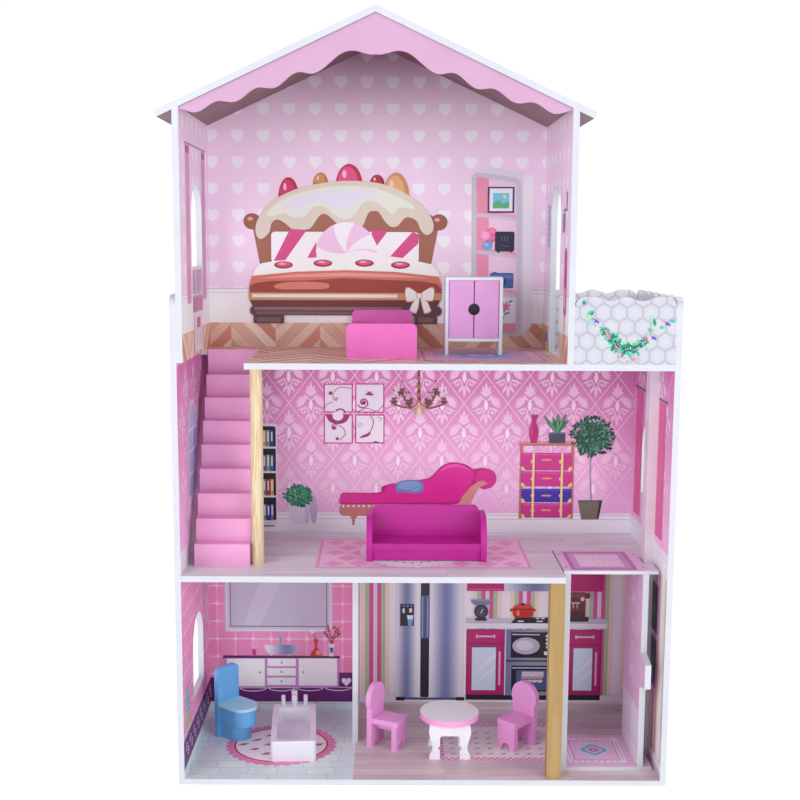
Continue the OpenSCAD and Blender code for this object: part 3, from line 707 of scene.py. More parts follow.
def cake_headboard(p):
    """Sponge headboard between two knobs, with domed sweets and dripping cream."""
    p.add((166, 106, 88), poly((-277.5, 842), (-252, 856.5), (-216, 866), (-17.5, 866.5),
        (5.5, 857), (30, 842.5), (16.5, 771.5), (-264.5, 771)))
    for knob in ((-276.5, 840), (28.5, 839.5)):
        p.add((112, 58, 52), disc(knob, 14, 13))
        p.add((156, 94, 76), disc(knob, 13.2, 12.2))
        p.add((240, 160, 168), disc((knob[0] - 3, knob[1] + 4), 4.5, 3))
    for base, wide, tall, dark, bright in (
        ((-216.5, 877), 17, 34, (182, 30, 66), (214, 52, 112)),
        ((-164.5, 899.5), 12.5, 19, (176, 112, 70), (214, 146, 92)),
        ((-118, 896.5), 22, 36, (196, 40, 66), (228, 80, 138)),
        ((-72.5, 899.5), 12, 16, (128, 20, 44), (186, 40, 62)),
        ((-41.5, 878), 21.5, 41, (206, 146, 96), (230, 174, 122)),
    ):
        p.add(dark, disc(base, wide, tall, 0, 180))
        p.add(bright, disc((base[0] - wide * 0.1, base[1] + 2), wide * 0.78, tall * 0.84, 0, 180))
        p.add((250, 196, 214),
            disc((base[0] - wide * 0.35, base[1] + tall * 0.55), wide * 0.15, tall * 0.17))
    p.add((224, 214, 200), blob((-271, 825.5), (-267.5, 842), (-255, 861.5), (-235.5, 877.5),
        (-199.5, 893.5), (-157, 902.5), (-118, 905.5), (-76, 903), (-43.5, 894), (-14, 878),
        (5.5, 862), (18, 842.5), (19, 826.5), (9, 819), (-0.5, 826), (-9, 842.5), (-25.5, 847),
        (-38, 834), (-49.5, 832), (-59.5, 840.5), (-69.5, 855), (-77.5, 857.5), (-87, 853.5),
        (-97, 832.5), (-118, 826), (-137.5, 837), (-150.5, 848.5), (-159, 852.5), (-167, 848.5),
        (-180, 830.5), (-190, 827), (-209.5, 827), (-222.5, 837), (-235.5, 843), (-244.5, 837),
        (-248.5, 822.5), (-260, 812), (-267.5, 814)))
    p.add((232, 236, 226), blob((-252, 850), (-238.5, 867.5), (-206, 884), (-157, 895),
        (-118, 897.5), (-76, 894), (-43.5, 882.5), (-15.5, 868), (-12.5, 860), (-35, 863.5),
        (-46.5, 851.5), (-59.5, 861.5), (-79, 873), (-95.5, 869.5), (-108.5, 851.5),
        (-124.5, 843.5), (-144, 851.5), (-157, 863), (-176.5, 863), (-190, 848.5), (-209.5, 846.5),
        (-222.5, 853), (-238.5, 849)))
    p.add((232, 230, 246), blob((-224, 863), (-206, 877.5), (-157, 889), (-111.5, 891),
        (-72.5, 887), (-92, 877.5), (-111.5, 870.5), (-124.5, 861), (-144, 863), (-163.5, 872.5),
        (-183, 871), (-199.5, 859.5), (-219, 858)))


def cake_pillow(p):
    """White pillow with pink stripes and a pinwheel."""
    p.add((250, 248, 253), slab((-245.5, 773), (-4, 823.5), 6))
    p.add((218, 78, 142), poly((-214.5, 828), (-187, 826.5), (-223.5, 776), (-241.5, 776)),
        poly((-171.5, 808), (-171.5, 782), (-186.5, 781)),
        poly((-81, 826.5), (-54.5, 825.5), (-72.5, 801.5), (-81.5, 819.5)),
        poly((-14, 824.5), (-4, 819), (-5, 805), (-30.5, 781.5), (-51, 784)))
    centre = (-122.5, 789.5)
    p.add((250, 248, 254), disc(centre, 50, 50, 0, 180))
    p.add((244, 206, 240),
        *(wedge(centre, 50, a, b, 22) for a, b in ((0, 4), (37, 74), (115, 168))))


def cake_mattress(p):
    """Cream with four berries over layers of sponge."""
    p.add((250, 252, 250), poly((-277, 750.5), (-272, 763.5), (-262, 772), (-240.5, 776),
        (-183.5, 780), (-124.5, 782), (-66, 780.5), (-7, 776.5), (17.5, 771.5), (27.5, 761.5),
        (32, 749), (-43, 757), (-124.5, 760), (-206.5, 757.5)))
    for spot in ((-225.5, 769.5), (-161, 772.5), (-93, 773), (-34, 770)):
        p.add((170, 44, 82), disc(spot, 15.5, 6))
        p.add((224, 88, 132), disc((spot[0], spot[1] + 1), 12, 4))
        p.add((246, 176, 200), disc((spot[0] - 2, spot[1] + 2), 6, 1.6))
    p.add((216, 120, 102), poly((-282, 735), (-277, 751.5), (-206.5, 758.5), (-124.5, 761.5),
        (-43, 759), (29, 751.5), (33.5, 737), (33.5, 723.5), (-282, 722.5)))
    p.add((238, 160, 156), poly((-268, 747.5), (-206.5, 754.5), (-124.5, 757.5), (-43, 755),
        (16, 749), (-42.5, 750), (-124.5, 751.5), (-206.5, 749.5)))
    p.add((160, 68, 58), poly((-281.5, 733.5), (-274, 739.5), (-246, 743.5), (-190, 744.5),
        (-124.5, 748.5), (-59, 746), (0, 744), (26, 739.5), (33.5, 731.5), (33.5, 724),
        (-281.5, 723)))
    p.add((220, 132, 116), blob((-242, 734.5), (-229.5, 740), (-196.5, 742.5), (-157.5, 740.5),
        (-150.5, 736), (-157.5, 731), (-196.5, 730), (-229.5, 730)))
    p.add((212, 154, 110), slab((-283, 712), (33.5, 724.5), 3))
    p.add((244, 240, 230), rect((-277.5, 716.5), (-38.5, 722)))


def cake_frame(p):
    """Chocolate rail and feet."""
    p.add((112, 54, 54), poly((-281.5, 712), (32, 713), (26.5, 702), (-275.5, 701)))
    p.add((98, 66, 76), slab((-281, 687.5), (34, 702.5), 6))
    p.add((150, 112, 116), rect((-274, 696), (-31, 701)))
    p.add((128, 96, 100), rect((-271, 689), (-39, 693.5)))
    for a, b in (((-275.5, 674), (-225, 688.5)), ((-9.5, 674), (26.5, 689.5))):
        p.add((94, 66, 74), rect(a, b))
        p.add((126, 96, 100), rect((a[0] + 6, a[1] + 2), (b[0] - 6, b[1] - 5)))


def cake_bow(p):
    bow = (
        blob((-3.5, 722.5), (-12, 730), (-22.5, 735), (-27, 728), (-25, 711), (-14.5, 710),
            (-4, 716)),
        blob((-2, 722.5), (8, 730.5), (19, 735), (23, 728), (21, 712.5), (10.5, 711), (-1.5, 716)),
        poly((-6, 719.5), (-14.5, 708), (-20, 695), (-14, 690.5), (-7.5, 690), (-3, 703.5),
            (-2, 717.5)),
        poly((-1.5, 717.5), (1.5, 703.5), (5.5, 690), (13.5, 691), (18, 695), (12, 709.5),
            (2, 719.5)),
    )
    p.add((206, 150, 112), *bow)
    for shape in bow:
        middle = sum((Vector(q) for q in shape[0]), Vector((0, 0))) / len(shape[0])
        p.add((254, 255, 252),
            poly(*(tuple(middle + (Vector(q) - middle) * 0.86) for q in shape[0])))
    p.add((206, 150, 112), disc((-2.5, 720), 5.2, 5))
    p.add((252, 250, 246), disc((-2.5, 720), 4.2, 4))


def cake_bed():
    p = Picture("print_cake_bed", BACK_WALL)
    for draw in (cake_headboard, cake_pillow, cake_mattress, cake_frame, cake_bow):
        draw(p)
    p.build()


def shelf_unit(p):
    """White unit with three boards and a pink lining."""
    p.add((226, 220, 234), poly((84, 917), (94.5, 923.5), (113.5, 928), (173, 919), (182, 913.5),
        (183.5, 905.5), (183, 670.5), (177, 663), (158, 653), (83.5, 666), (81, 911.5)))
    p.add((240, 236, 246), poly((165, 916), (173, 918.5), (182, 913), (183, 905.5), (182.5, 672),
        (177, 664.5), (169, 659.5)))
    p.add((204, 200, 216), poly((81, 910), (84, 917), (92, 920), (153, 912), (160.5, 905.5),
        (162.5, 897.5), (165, 663), (159.5, 654), (147, 654.5), (83.5, 669)))
    p.add((238, 204, 230), poly((89, 913), (150.5, 904), (154, 900), (157.5, 663), (92, 672)))
    p.add((236, 148, 178), poly((89, 913), (109, 910), (112, 669), (92, 672)))
    boards = (((88.5, 849.5), (155, 841.5)), ((89, 789.5), (156, 781)), ((90, 729), (157, 718)))
    for near, far in boards:
        p.add((238, 158, 184), poly(near, (near[0] + 20, near[1] + 8), (far[0], far[1] + 10), far))
        p.add((204, 200, 216), poly(near, far, (far[0], far[1] + 5.5), (near[0], near[1] + 6)))


def shelf_things(p):
    """Framed landscape, vase of flowers, radio, camera and a card with a flower."""
    p.add((50, 60, 108), rect((107.5, 855), (151, 897)))
    p.add((234, 232, 244), rect((110.5, 858), (148, 894.5)))
    p.add((112, 198, 228), rect((116, 862.5), (142.5, 887)))
    p.add((92, 176, 120),
        poly((116, 862.5), (116, 870), (125, 875.5), (133, 869.5), (142.5, 873.5), (142.5, 862.5)))
    p.add((248, 214, 110), disc((135, 881.5), 3))
    p.add((56, 140, 92), *(leaf((109.5, 816), turn, 13, 6) for turn in range(-60, 300, 52)))
    p.add((118, 166, 226), disc((108.5, 802), 8.2, 7))
    p.add((158, 196, 238), disc((106.5, 804), 3, 3))
    flowers = (
        ((115.5, 824.5), 7.2, (232, 112, 166)),
        ((115, 815), 7.8, (220, 92, 152)),
        ((104, 818.5), 9, (238, 152, 198)),
    )
    for spot, size, shade in flowers:
        p.add(shade, disc(spot, size, size * 0.95))
        petals = [leaf(spot, turn, size * 0.85, size * 0.5) for turn in range(10, 370, 60)]
        p.add(lighter(shade, 18), *petals)
    p.add((34, 36, 58), slab((120.5, 793), (152, 825), 3), rect((124, 791), (128.5, 794.5)),
        rect((145, 791.5), (149.5, 794.5)))
    p.add((58, 98, 170),
        *(rect((x, z), (x + 1.2, z + 8)) for x, z in ((131, 809.5), (135.5, 809.5), (140, 809.5))),
        *(rect((x, z), (x + 4, z + 1)) for x, z in ((128.5, 801), (134.5, 801), (140, 801))))
    p.add((66, 98, 164), slab((113.5, 733), (151.5, 758), 2.5), rect((117.5, 757), (124, 759.5)))
    p.add((88, 122, 184), rect((114.5, 749.5), (151, 754)))
    p.add((40, 52, 104), disc((131.5, 743.5), 8.5))
    p.add((110, 150, 208), disc((131.5, 743.5), 4.5))
    p.add((240, 236, 244), rect((119, 675.5), (156, 717.5)))
    p.add((222, 120, 170),
        *(leaf((139.5, 702.5), turn, 10, 4) for turn in (20, 75, 130, 190, 250, 320)))
    p.add((74, 140, 96), line(1.2, (135.5, 683), (138.5, 691), (139.5, 701)),
        leaf((137.5, 690), 20, 11, 3), leaf((143.5, 709), 30, 10, 3))
    p.add((236, 150, 176), rect((119.5, 661.5), (156.5, 674)))


def display_shelf():
    p = Picture("print_display_shelf", BACK_WALL)
    shelf_unit(p)
    shelf_things(p)
    p.build()


def curtain(p, y, width, low, high, colour):
    """Hanging curtain with a few soft folds."""
    p.add(colour, rect((y, low), (y + width, high)))
    fold = scaled(colour, 0.86)
    bright = scaled(colour, 1.08)
    p.add(fold, *(rect((y + width * k / 5, low), (y + width * k / 5 + 1.6, high)) for k in (1, 3)))
    p.add(bright,
        *(rect((y + width * k / 5, low), (y + width * k / 5 + 1.2, high)) for k in (2, 4)))


def attic_side_prints():
    walls = (("left", ATTIC_LEFT_WALL, True), ("right", ATTIC_RIGHT_WALL, False))
    for name, place, window in walls:
        p = Picture("print_attic_" + name, place, "wall_board")
        if window:
            for y in (54, 206):
                curtain(p, y, 34, 716, 946, (226, 160, 206))
            p.add((148, 120, 140), line(2.2, (48, 948), (246, 948)))
            p.add((214, 60, 128), rect((56, 934), (86, 945)), rect((208, 934), (238, 945)))
            p.add((214, 150, 196), rect((104, 700), (196, 726)))
            p.add((190, 110, 160), rect((106, 702), (194, 722)))
            p.add((238, 230, 240), rect((112, 640), (190, 698)))
            p.add((206, 92, 142), rect((134, 676), (168, 692)))
            p.add((120, 100, 130), line(1.6, (138, 650), (138, 676)),
                line(1.6, (164, 650), (164, 676)))
            p.add((196, 176, 204), rect((110, 728), (140, 764)), rect((152, 728), (190, 764)))
        else:
            p.add((186, 58, 132), slab((26, 700), (52, 800), 13))
            p.add((240, 228, 240), slab((36, 712), (43, 742), 2))
            p.add((168, 100, 140), line(2, (30, 640), (36, 700)), line(2, (50, 640), (44, 700)))
            p.add((150, 124, 150), rect((30, 852), (74, 856)), rect((52, 822), (78, 850)))
            p.add((120, 112, 160), rect((34, 857), (44, 880)), rect((56, 824), (74, 846)))
            p.add((166, 182, 226), rect((214, 800), (246, 866)))
            p.add((232, 222, 244), *(line(1.6, (214, z), (224, z + 4), (236, z),
                (246, z + 4)) for z in range(804, 864, 9)))
            p.add((120, 150, 214), rect((224, 650), (250, 664)))
        p.build()


def attic_rug():
    p = Picture("print_attic_rug", ATTIC_FLOOR, "floor_board")
    low, high = (-12, 34), (190, 232)
    borders = (
        (0, (226, 150, 176)), (5, (240, 196, 206)), (9, (224, 140, 168)), (14, (236, 186, 204)),
        (28, (214, 168, 206)),
    )
    for edge, shade in borders:
        p.add(shade, inset(low, high, edge))
    centre = ((low[0] + high[0]) / 2, (low[1] + high[1]) / 2)
    p.add((150, 170, 220), *(leaf(centre, turn, 62, 30) for turn in range(0, 360, 45)))
    p.add((120, 150, 210), disc(centre, 34))
    p.add((226, 190, 220), disc(centre, 22))
    p.add((150, 170, 220), disc(centre, 11))
    p.add((150, 176, 220), *(disc((x, y), 5) for x in range(5, 180, 17) for y in (45, 221)))
    p.build()


cake_bed()
display_shelf()
attic_side_prints()
attic_rug()

# ------------------------------------------------------------------ living-room pictures


# Layers that the damask takes below the pictures on the same wall
OVER_DAMASK = 5


def damask(p, u, v):
    """One pale palmette in a diamond of the lattice."""
    fans, scrolls = [], []
    for side in (-1, 1):
        for turn in range(-14, 115, 16):
            fans += leaf((u + side * 11, v - 1), 90 - side * turn, 15.5, 3.4)
        fans += leaf((u + side * 2, v + 11), 90 - side * 13, 20, 5)
        fans += leaf((u + side * 2, v + 14), 90 - side * 50, 11, 4)
        fans += leaf((u + side * 2, v + 4), 90 - side * 40, 15, 3.8)
        scrolls += swirl((u + side * 11, v - 14), 7.5, 2.2, 200 if side > 0 else -20, 1.0, -side)
        scrolls += leaf((u + side * 2, v - 16), 90 - side * 150, 16, 4.4)
        scrolls += leaf((u + side * 4, v - 6), 90 - side * 112, 20, 3.8)
    p.layer = 0
    p.add((246, 206, 234), fans)
    p.add((248, 212, 237), scrolls)
    p.add((246, 206, 234), leaf((u, v + 10), 90, 27, 7), leaf((u, v - 17), 270, 20, 6))
    p.add((252, 236, 248), leaf((u, v - 13), 90, 21, 7))


def wall_damask():
    """Palmettes on three walls, left out where the right wall's window is."""
    margin = LATTICE_WIDE / 4
    for name, place, slot, low, high in (
        ("back", BACK_WALL, "back_board", -352, 352),
        ("left", LEFT_WALL, "wall_board", 6, 276),
        ("right", RIGHT_WALL, "wall_board", 6, 276),
    ):
        p = Picture("print_damask_" + name, place, slot)
        for row in range(-3, 4):
            v = LATTICE_Z + LATTICE_TALL / 2 * row
            for column in range(-10, 16):
                u = LATTICE_X + LATTICE_WIDE / 2 * column
                window = name == "right" and 74 < u < 226 and 384 < v < 556
                inside = low + margin < u < high - margin and 376 < v < 606
                if (row + column) % 2 and inside and not window:
                    damask(p, u, v)
        p.build()


def swirl_pictures():
    p = Picture("print_swirl_pictures", BACK_WALL, layer=OVER_DAMASK)
    frames = (((-160.5, 525.5), (-112, 574)), ((-108, 525.5), (-59.5, 574.5)),
        ((-160.5, 473), (-112, 522.5)), ((-108, 473.5), (-59, 522.5)))
    for a, b in frames:
        p.add((198, 42, 132), rect(a, b))
        p.add((236, 228, 240), inset(a, b, 2))
    dark = (160, 32, 112)
    p.add(dark, line(1.1, (-113.5, 566), (-133, 568), (-144, 559), (-144, 549), (-138.5, 545)),
        disc((-149, 558), 3.2), swirl((-139.5, 548), 3.5, 1, 0, 1),
        line(1, (-159, 532.5), (-155, 539.5), (-145, 543.5)), disc((-133, 525.5), 9, 7, 0, 180))
    p.add((236, 228, 240), disc((-133, 525.5), 6, 4.4, 0, 180))
    p.add(dark, swirl((-94.5, 542.5), 10, 2.2, 200, 1.3), disc((-93.5, 542.5), 3.6),
        line(1.2, (-104, 527), (-88.5, 532.5), (-72, 528.5), (-61, 538.5)),
        *(leaf((-84.5, 555), turn, 8, 3.4) for turn in (10, 60, 110, 160)))
    p.add(dark, disc((-137, 518), 18, 12, 180, 360), rect((-156.5, 518), (-117.5, 521)))
    p.add((236, 228, 240), disc((-137, 520), 9, 8))
    p.add(dark, swirl((-142.5, 500.5), 6, 1.6, 30, 1.2), disc((-144, 500), 2.6),
        line(1.2, (-137, 504.5), (-127.5, 499), (-125, 488), (-134.5, 479)),
        disc((-138, 481.5), 2.8))
    p.add(dark, line(1.4, (-83, 521), (-77.5, 510.5), (-83, 493.5), (-97, 485)),
        blob((-101, 483.5), (-92.5, 488.5), (-81.5, 491.5), (-87, 485.5), (-97, 483)),
        line(0.8, (-72, 518), (-63.5, 516), (-69, 510.5)), swirl((-100, 503.5), 5, 0.7, 0, 1),
        blob((-80, 474), (-74.5, 477.5), (-67.5, 475.5), (-65, 474)))
    p.build()


def chandelier():
    p = Picture("print_chandelier", BACK_WALL, layer=OVER_DAMASK)
    gold, deep = (176, 108, 92), (112, 54, 58)
    p.add(deep, line(4, (-2, 597), (-2, 572)), line(5.5, (-2, 572), (-1.5, 538.5)))
    core = (-1.5, 540)
    middle, level = -2, 548.5
    for reach, rise in ((41.4, 0), (27.6, 15.6), (16.6, -2.8)):
        for side in (1, -1):
            x, z = middle + side * reach, level + rise
            for shade, width, drop in ((deep, 3, 0), (gold, 1.5, 1)):
                bend = (core[0] + side * reach * 0.435, core[1] - 6 + drop)
                p.add(shade, line(width, core, bend, (x, z - 8 + drop), (x, z)))
            drops = (leaf((x, z - 2), turn, 9, 2.6) for turn in range(200, 341, 35))
            p.add(deep, disc((x, z + 1), 4.6, 2), *drops)
            p.add((214, 190, 190), rect((x - 0.9, z + 2), (x + 0.9, z + 13)))
            p.add((70, 50, 80), leaf((x, z + 12), 90, 5, 2))
    for side in (-1, 1):
        for reach, rise in ((12, 1), (24, 4), (33, 12)):
            x, z = middle + side * reach, level + rise
            p.add((214, 190, 190), rect((x - 0.8, z), (x + 0.8, z + 11)))
            p.add(deep, disc((x, z), 3, 1.2), leaf((x, z), 270, 8, 2.4))
    p.add(gold,
        *(disc(spot, 3.4, 4.2) for spot in ((-2, 583), (-2, 569), (-2, 555.5), (-2, 543.5))))
    p.add((232, 206, 190), leaf((-2, 543), 270, 24, 11))
    p.add((206, 160, 140), *(leaf((-1.5, 540), turn, 19, 4) for turn in (215, 245, 295, 325)))
    p.build()


def bookshelf():
    p = Picture("print_bookshelf", BACK_WALL, layer=OVER_DAMASK)
    right = -240
    p.add((238, 232, 242), slab((right - 46, 330.5), (right + 1, 506.5), 5))
    p.add((36, 34, 44), slab((right - 44, 341), (right - 1, 502), 4))
    binders = ((70, 130, 200), (96, 180, 150), (214, 60, 70), (240, 190, 110), (120, 190, 130),
        (60, 60, 190), (150, 110, 190), (140, 200, 150))
    for row, z in enumerate((467.5, 426, 384.5, 342)):
        p.add((236, 230, 240), rect((right - 44, z - 3.4), (right - 1, z)))
        for k in range(6):
            x = right - 42 + k * 6.4
            shade = binders[(row * 3 + k) % len(binders)]
            p.add(shade, rect((x, z), (x + 5, z + 28)))
            p.add((236, 238, 240), rect((x + 1.3, z + 9), (x + 3.7, z + 25)))
            p.add((40, 40, 60), disc((x + 2.5, z + 5), 1.1))
    p.add((36, 34, 44), line(1.6, (right - 40, 332.5), (right - 4, 332.5)))
    p.build()


def green_bush():
    p = Picture("print_green_bush", BACK_WALL, layer=OVER_DAMASK)
    p.add((198, 180, 212), disc((-178, 360), 6, 24))
    p.add((230, 226, 240), poly((-222, 367), (-184.5, 365.5), (-187, 337.5), (-192, 335),
        (-213, 335.5), (-216.5, 340)))
    p.add((208, 204, 226), poly((-193, 365.5), (-184, 365.5), (-186.5, 338), (-191.5, 335.5)))
    crown = (-203.5, 383.5)
    p.add((38, 128, 96), disc(crown, 22, 17))
    p.add((32, 112, 84), foliage(crown, 22, 17, 90, 7, 1))
    p.add((66, 164, 122), foliage(crown, 19, 14, 76, 6, 2))
    p.add((126, 202, 146), foliage((crown[0] - 3, crown[1] + 4), 12, 8, 22, 5, 3))
    p.build()


def pot_tree():
    p = Picture("print_pot_tree", BACK_WALL, layer=OVER_DAMASK)
    p.add((150, 150, 160), line(2.6, (287, 455.5), (287, 421.5), (289.5, 377.5)))
    p.add((120, 116, 98), poly((267.5, 377.5), (303.5, 377.5), (300, 345), (273.5, 345)))
    p.add((44, 44, 66), poly((303.5, 377.5), (308.5, 378.5), (303, 346), (300, 345)))
    p.add((96, 92, 78), rect((267.5, 375.5), (303.5, 378)))
    crown = (289, 486.5)
    p.add((26, 74, 58), disc((crown[0], crown[1] - 2), 28, 25))
    p.add((22, 70, 54), foliage(crown, 34, 31, 210, 8, 4))
    p.add((44, 116, 88), foliage(crown, 32, 29, 150, 7, 5))
    p.add((98, 164, 132), foliage(crown, 30, 27, 46, 6, 6))
    p.build()


def chaise():
    p = Picture("print_chaise", BACK_WALL, layer=OVER_DAMASK)
    p.add((206, 130, 124), slab((-134.5, 349.5), (26, 371), 7))
    p.add((206, 130, 124), poly((-117.5, 350.5), (-103.5, 350.5), (-108, 343.5), (-109.5, 333.5),
        (-112.5, 333.5), (-113.5, 343.5)))
    p.add((244, 232, 236), *(disc(spot, 2) for spot in ((-128, 366), (-119.5, 366.5),
        (-110.5, 366.5), (-102, 366.5), (-93.5, 366.5), (-84.5, 366.5), (-76, 366.5))))
    p.add((192, 20, 130), blob((-133.5, 380.5), (-131, 387.5), (-123, 389.5), (-69, 390),
        (-63.5, 399), (-52, 404), (-30, 407.5), (-5, 411.5), (14.5, 414.5), (25.5, 423.5),
        (36.5, 435), (50.5, 441.5), (64.5, 441.5), (78.5, 438), (89.5, 431), (98, 432),
        (109, 432.5), (123, 427), (129.5, 414), (123.5, 401.5), (109.5, 396), (98.5, 398),
        (87.5, 384), (65, 371), (-2, 370), (-124.5, 369.5), (-132.5, 373.5)))
    p.add((222, 42, 152), blob((-132, 380.5), (-124.5, 388), (-66, 388), (-52, 402), (-5, 409.5),
        (17, 412.5), (28.5, 423), (39.5, 433), (53, 439), (67, 438.5), (81, 432.5), (92.5, 421),
        (81.5, 398.5), (62.5, 375.5), (-2, 372.5), (-124.5, 372)))
    p.add((232, 84, 176), blob((34, 426.5), (45, 436), (61.5, 439), (75.5, 435), (87, 426.5),
        (73, 432.5), (53.5, 433.5)))
    p.add((214, 40, 142), disc((112, 414.5), 17.5, 17.5))
    p.add((216, 144, 140), poly((65, 370.5), (73.5, 384.5), (85.5, 400), (98, 408.5), (106.5, 411),
        (115.5, 406), (109.5, 403.5), (98.5, 397), (91.5, 384), (87.5, 370.5)))
    p.add((110, 142, 196), blob((-40, 398.5), (-36, 407.5), (-19, 412), (-2, 410.5), (7, 404),
        (5.5, 392), (-7.5, 389), (-27, 390.5), (-37, 390.5)))
    p.add((136, 164, 212), blob((-36.5, 399), (-32.5, 406), (-19, 409.5), (-3, 407.5), (2, 402.5),
        (-0.5, 395), (-10.5, 393), (-27, 394.5)))
    p.add((86, 116, 176), line(0.9, (-35.5, 395), (-27, 393), (-16, 394.5), (-0.5, 401)))
    p.build()


def chest_of_drawers():
    p = Picture("print_chest", BACK_WALL, layer=OVER_DAMASK)
    wood = (196, 116, 112)
    p.add(wood, rect((168, 346), (173.5, 475)), rect((253.5, 346), (259.5, 475)),
        poly((165, 470.5), (168, 477.5), (258, 479), (260.5, 470.5)))
    p.add((222, 146, 140), poly((169, 477), (257.5, 478.5), (258.5, 475), (167, 474)))
    gold = (238, 212, 134)
    for (a, b), shade in (
        (((170.5, 429), (255.5, 458.5)), (208, 46, 146)),
        (((171, 401.5), (256.5, 427)), (208, 46, 146)),
        (((171.5, 374.5), (256, 397.5)), (62, 38, 172)),
        (((172, 348), (256, 372.5)), (208, 46, 146)),
    ):
        p.add(scaled(shade, 0.72), slab(a, b, 3))
        p.add(shade, slab((a[0] + 0.8, a[1] + 0.8), (b[0] - 0.8, b[1] - 0.8), 3))
        p.add(lighter(shade, 34), rect((a[0] + 2, b[1] - 3.4), (b[0] - 2, b[1] - 1.8)))
        p.add(gold, wedge((a[0], a[1]), 6.5, 0, 90), wedge((b[0], a[1]), 6.5, 90, 180))
        p.add((232, 176, 100),
            slab(((a[0] + b[0]) / 2 - 8, b[1] - 13), ((a[0] + b[0]) / 2 + 8, b[1] - 10.4), 1))
        p.add(gold, *(disc((a[0] + off, (a[1] + b[1]) / 2), 3.2) for off in (19, 66.5)))
    for shade, half in ((gold, 1.9), ((250, 236, 180), 0.5)):
        p.add(shade, *(rect((x - half, 348), (x + half, 458.5)) for x in (191, 239)))
    p.add((186, 24, 112), blob((184.5, 523), (190.5, 522.5), (197, 523), (194, 514), (195.5, 506),
        (198.5, 494.5), (195.5, 476.5), (191, 476), (186, 476.5), (182.5, 494.5), (185, 506),
        (187.5, 514)))
    p.add((216, 60, 144), blob((186.5, 510), (188.5, 500), (187, 486), (185, 494.5)))
    p.add((66, 70, 98), rect((216, 475.5), (243, 493.5)))
    p.add((96, 100, 128), rect((216, 491), (243, 493.5)))
    p.add((46, 120, 88), *(leaf((229.5, 492.5), turn, length, 6) for turn, length in ((128, 38),
        (106, 30), (88, 34), (66, 37), (50, 30))))
    p.add((104, 172, 118), *(leaf((229, 492.5), turn, length, 2.4) for turn, length in ((124, 32),
        (86, 30), (68, 32))))
    p.build()


def living_rug():
    p = Picture("print_living_rug", SECOND_FLOOR, "floor_board")
    a, b = (-162.5, 49.5), (164.5, 226)
    p.add((240, 182, 218), rect(a, b))
    p.add((232, 150, 196), inset(a, b, 3))
    p.add((248, 206, 232), inset(a, b, 5))
    wide, deep = 40, 35
    columns, rows = int((b[0] - a[0] - 14) / wide * 2), int((b[1] - a[1] - 14) / deep)
    diamonds = []
    for column in range(columns):
        for row in range(rows + 1):
            if (column + row) % 2 == 0:
                x = a[0] + 7 + (column + 1) * (b[0] - a[0] - 14) / (columns + 1)
                y = a[1] + 7 + (row + 0.5) * (b[1] - a[1] - 14) / (rows + 1)
                diamonds += poly((x - 16, y), (x, y - 17), (x + 16, y), (x, y + 17))
    p.add((240, 162, 206), diamonds)
    p.layer += 2
    x, y, across, up = -15, 144, 83, 94
    p.add((242, 240, 248), scalloped((x, y), across, up, 36, 0.04))

    def ring(size, turn):
        return around((x, y), size * across, size * up, math.tau * turn)

    p.add((206, 200, 222), *(disc(ring(0.88, k / 44), 1.6) for k in range(44)))
    p.add((70, 70, 110), *(leaf(ring(0.66, k / 14), 360 * k / 14, 8, 3) for k in range(14)))
    p.add((214, 90, 150), *(disc(ring(0.7, (k + 0.5) / 14), 2.4) for k in range(14)))
    p.build()


def left_window():
    p = Picture("print_left_window", LEFT_WALL, "wall_board", layer=OVER_DAMASK)
    low, high, wide = 416, 566, 88
    y = 84
    p.add((238, 216, 238), rect((y - 6, low - 8), (y + wide + 6, low)),
        rect((y, low), (y + wide, high - wide / 2)),
        disc((y + wide / 2, high - wide / 2), wide / 2, None, 0, 180))
    p.add((178, 186, 228), rect((y + 6, low + 5), (y + wide - 6, high - wide / 2)),
        disc((y + wide / 2, high - wide / 2), wide / 2 - 6, None, 0, 180))
    p.add((150, 160, 214),
        poly((y + 6, low + 5), (y + 50, low + 5), (y + 80, high - 50), (y + 60, high - 46)))
    p.add((240, 226, 242), rect((y + wide / 2 - 1.5, low), (y + wide / 2 + 1.5, high - 5)),
        *(rect((y, z), (y + wide, z + 3)) for z in (low + 36, low + 72, low + 104)))
    p.build()


def right_curtains():
    p = Picture("print_right_curtains", RIGHT_WALL, "wall_board", layer=OVER_DAMASK)
    for y in (44, 206):
        curtain(p, y, 48, 366, 572, (226, 92, 158))
    p.add((96, 84, 100), line(3, (34, 575), (264, 575)))
    p.add((240, 206, 230), rect((96, 398), (204, 406)))
    p.build()


wall_damask()
swirl_pictures()
chandelier()
bookshelf()
green_bush()
pot_tree()
chaise()
chest_of_drawers()
living_rug()
left_window()
right_curtains()

# ------------------------------------------------------------------ bathroom pictures


def mirror():
    p = Picture("print_mirror", BACK_WALL)
    a, b = (-330.5, 146), (-146.5, 233.5)
    p.add((208, 202, 220), rect(a, (b[0], 304)))
    p.add((232, 226, 238), rect((a[0] + 2, a[1] + 2), (b[0] - 2, 302)))
    p.add((208, 202, 220), rect((a[0] + 5, a[1] + 5), (b[0] - 5, 299)))
    p.add((120, 104, 156), rect((a[0] + 9, a[1] + 9), (b[0] - 9, 295)))
    p.add((200, 196, 216), rect((a[0] + 10.6, a[1] + 10.6), (b[0] - 10.6, 293.5)))
    p.add((210, 206, 224),
        poly((a[0] + 30, a[1] + 11), (a[0] + 60, a[1] + 11), (b[0] - 60, 293), (b[0] - 100, 293)))
    p.build()


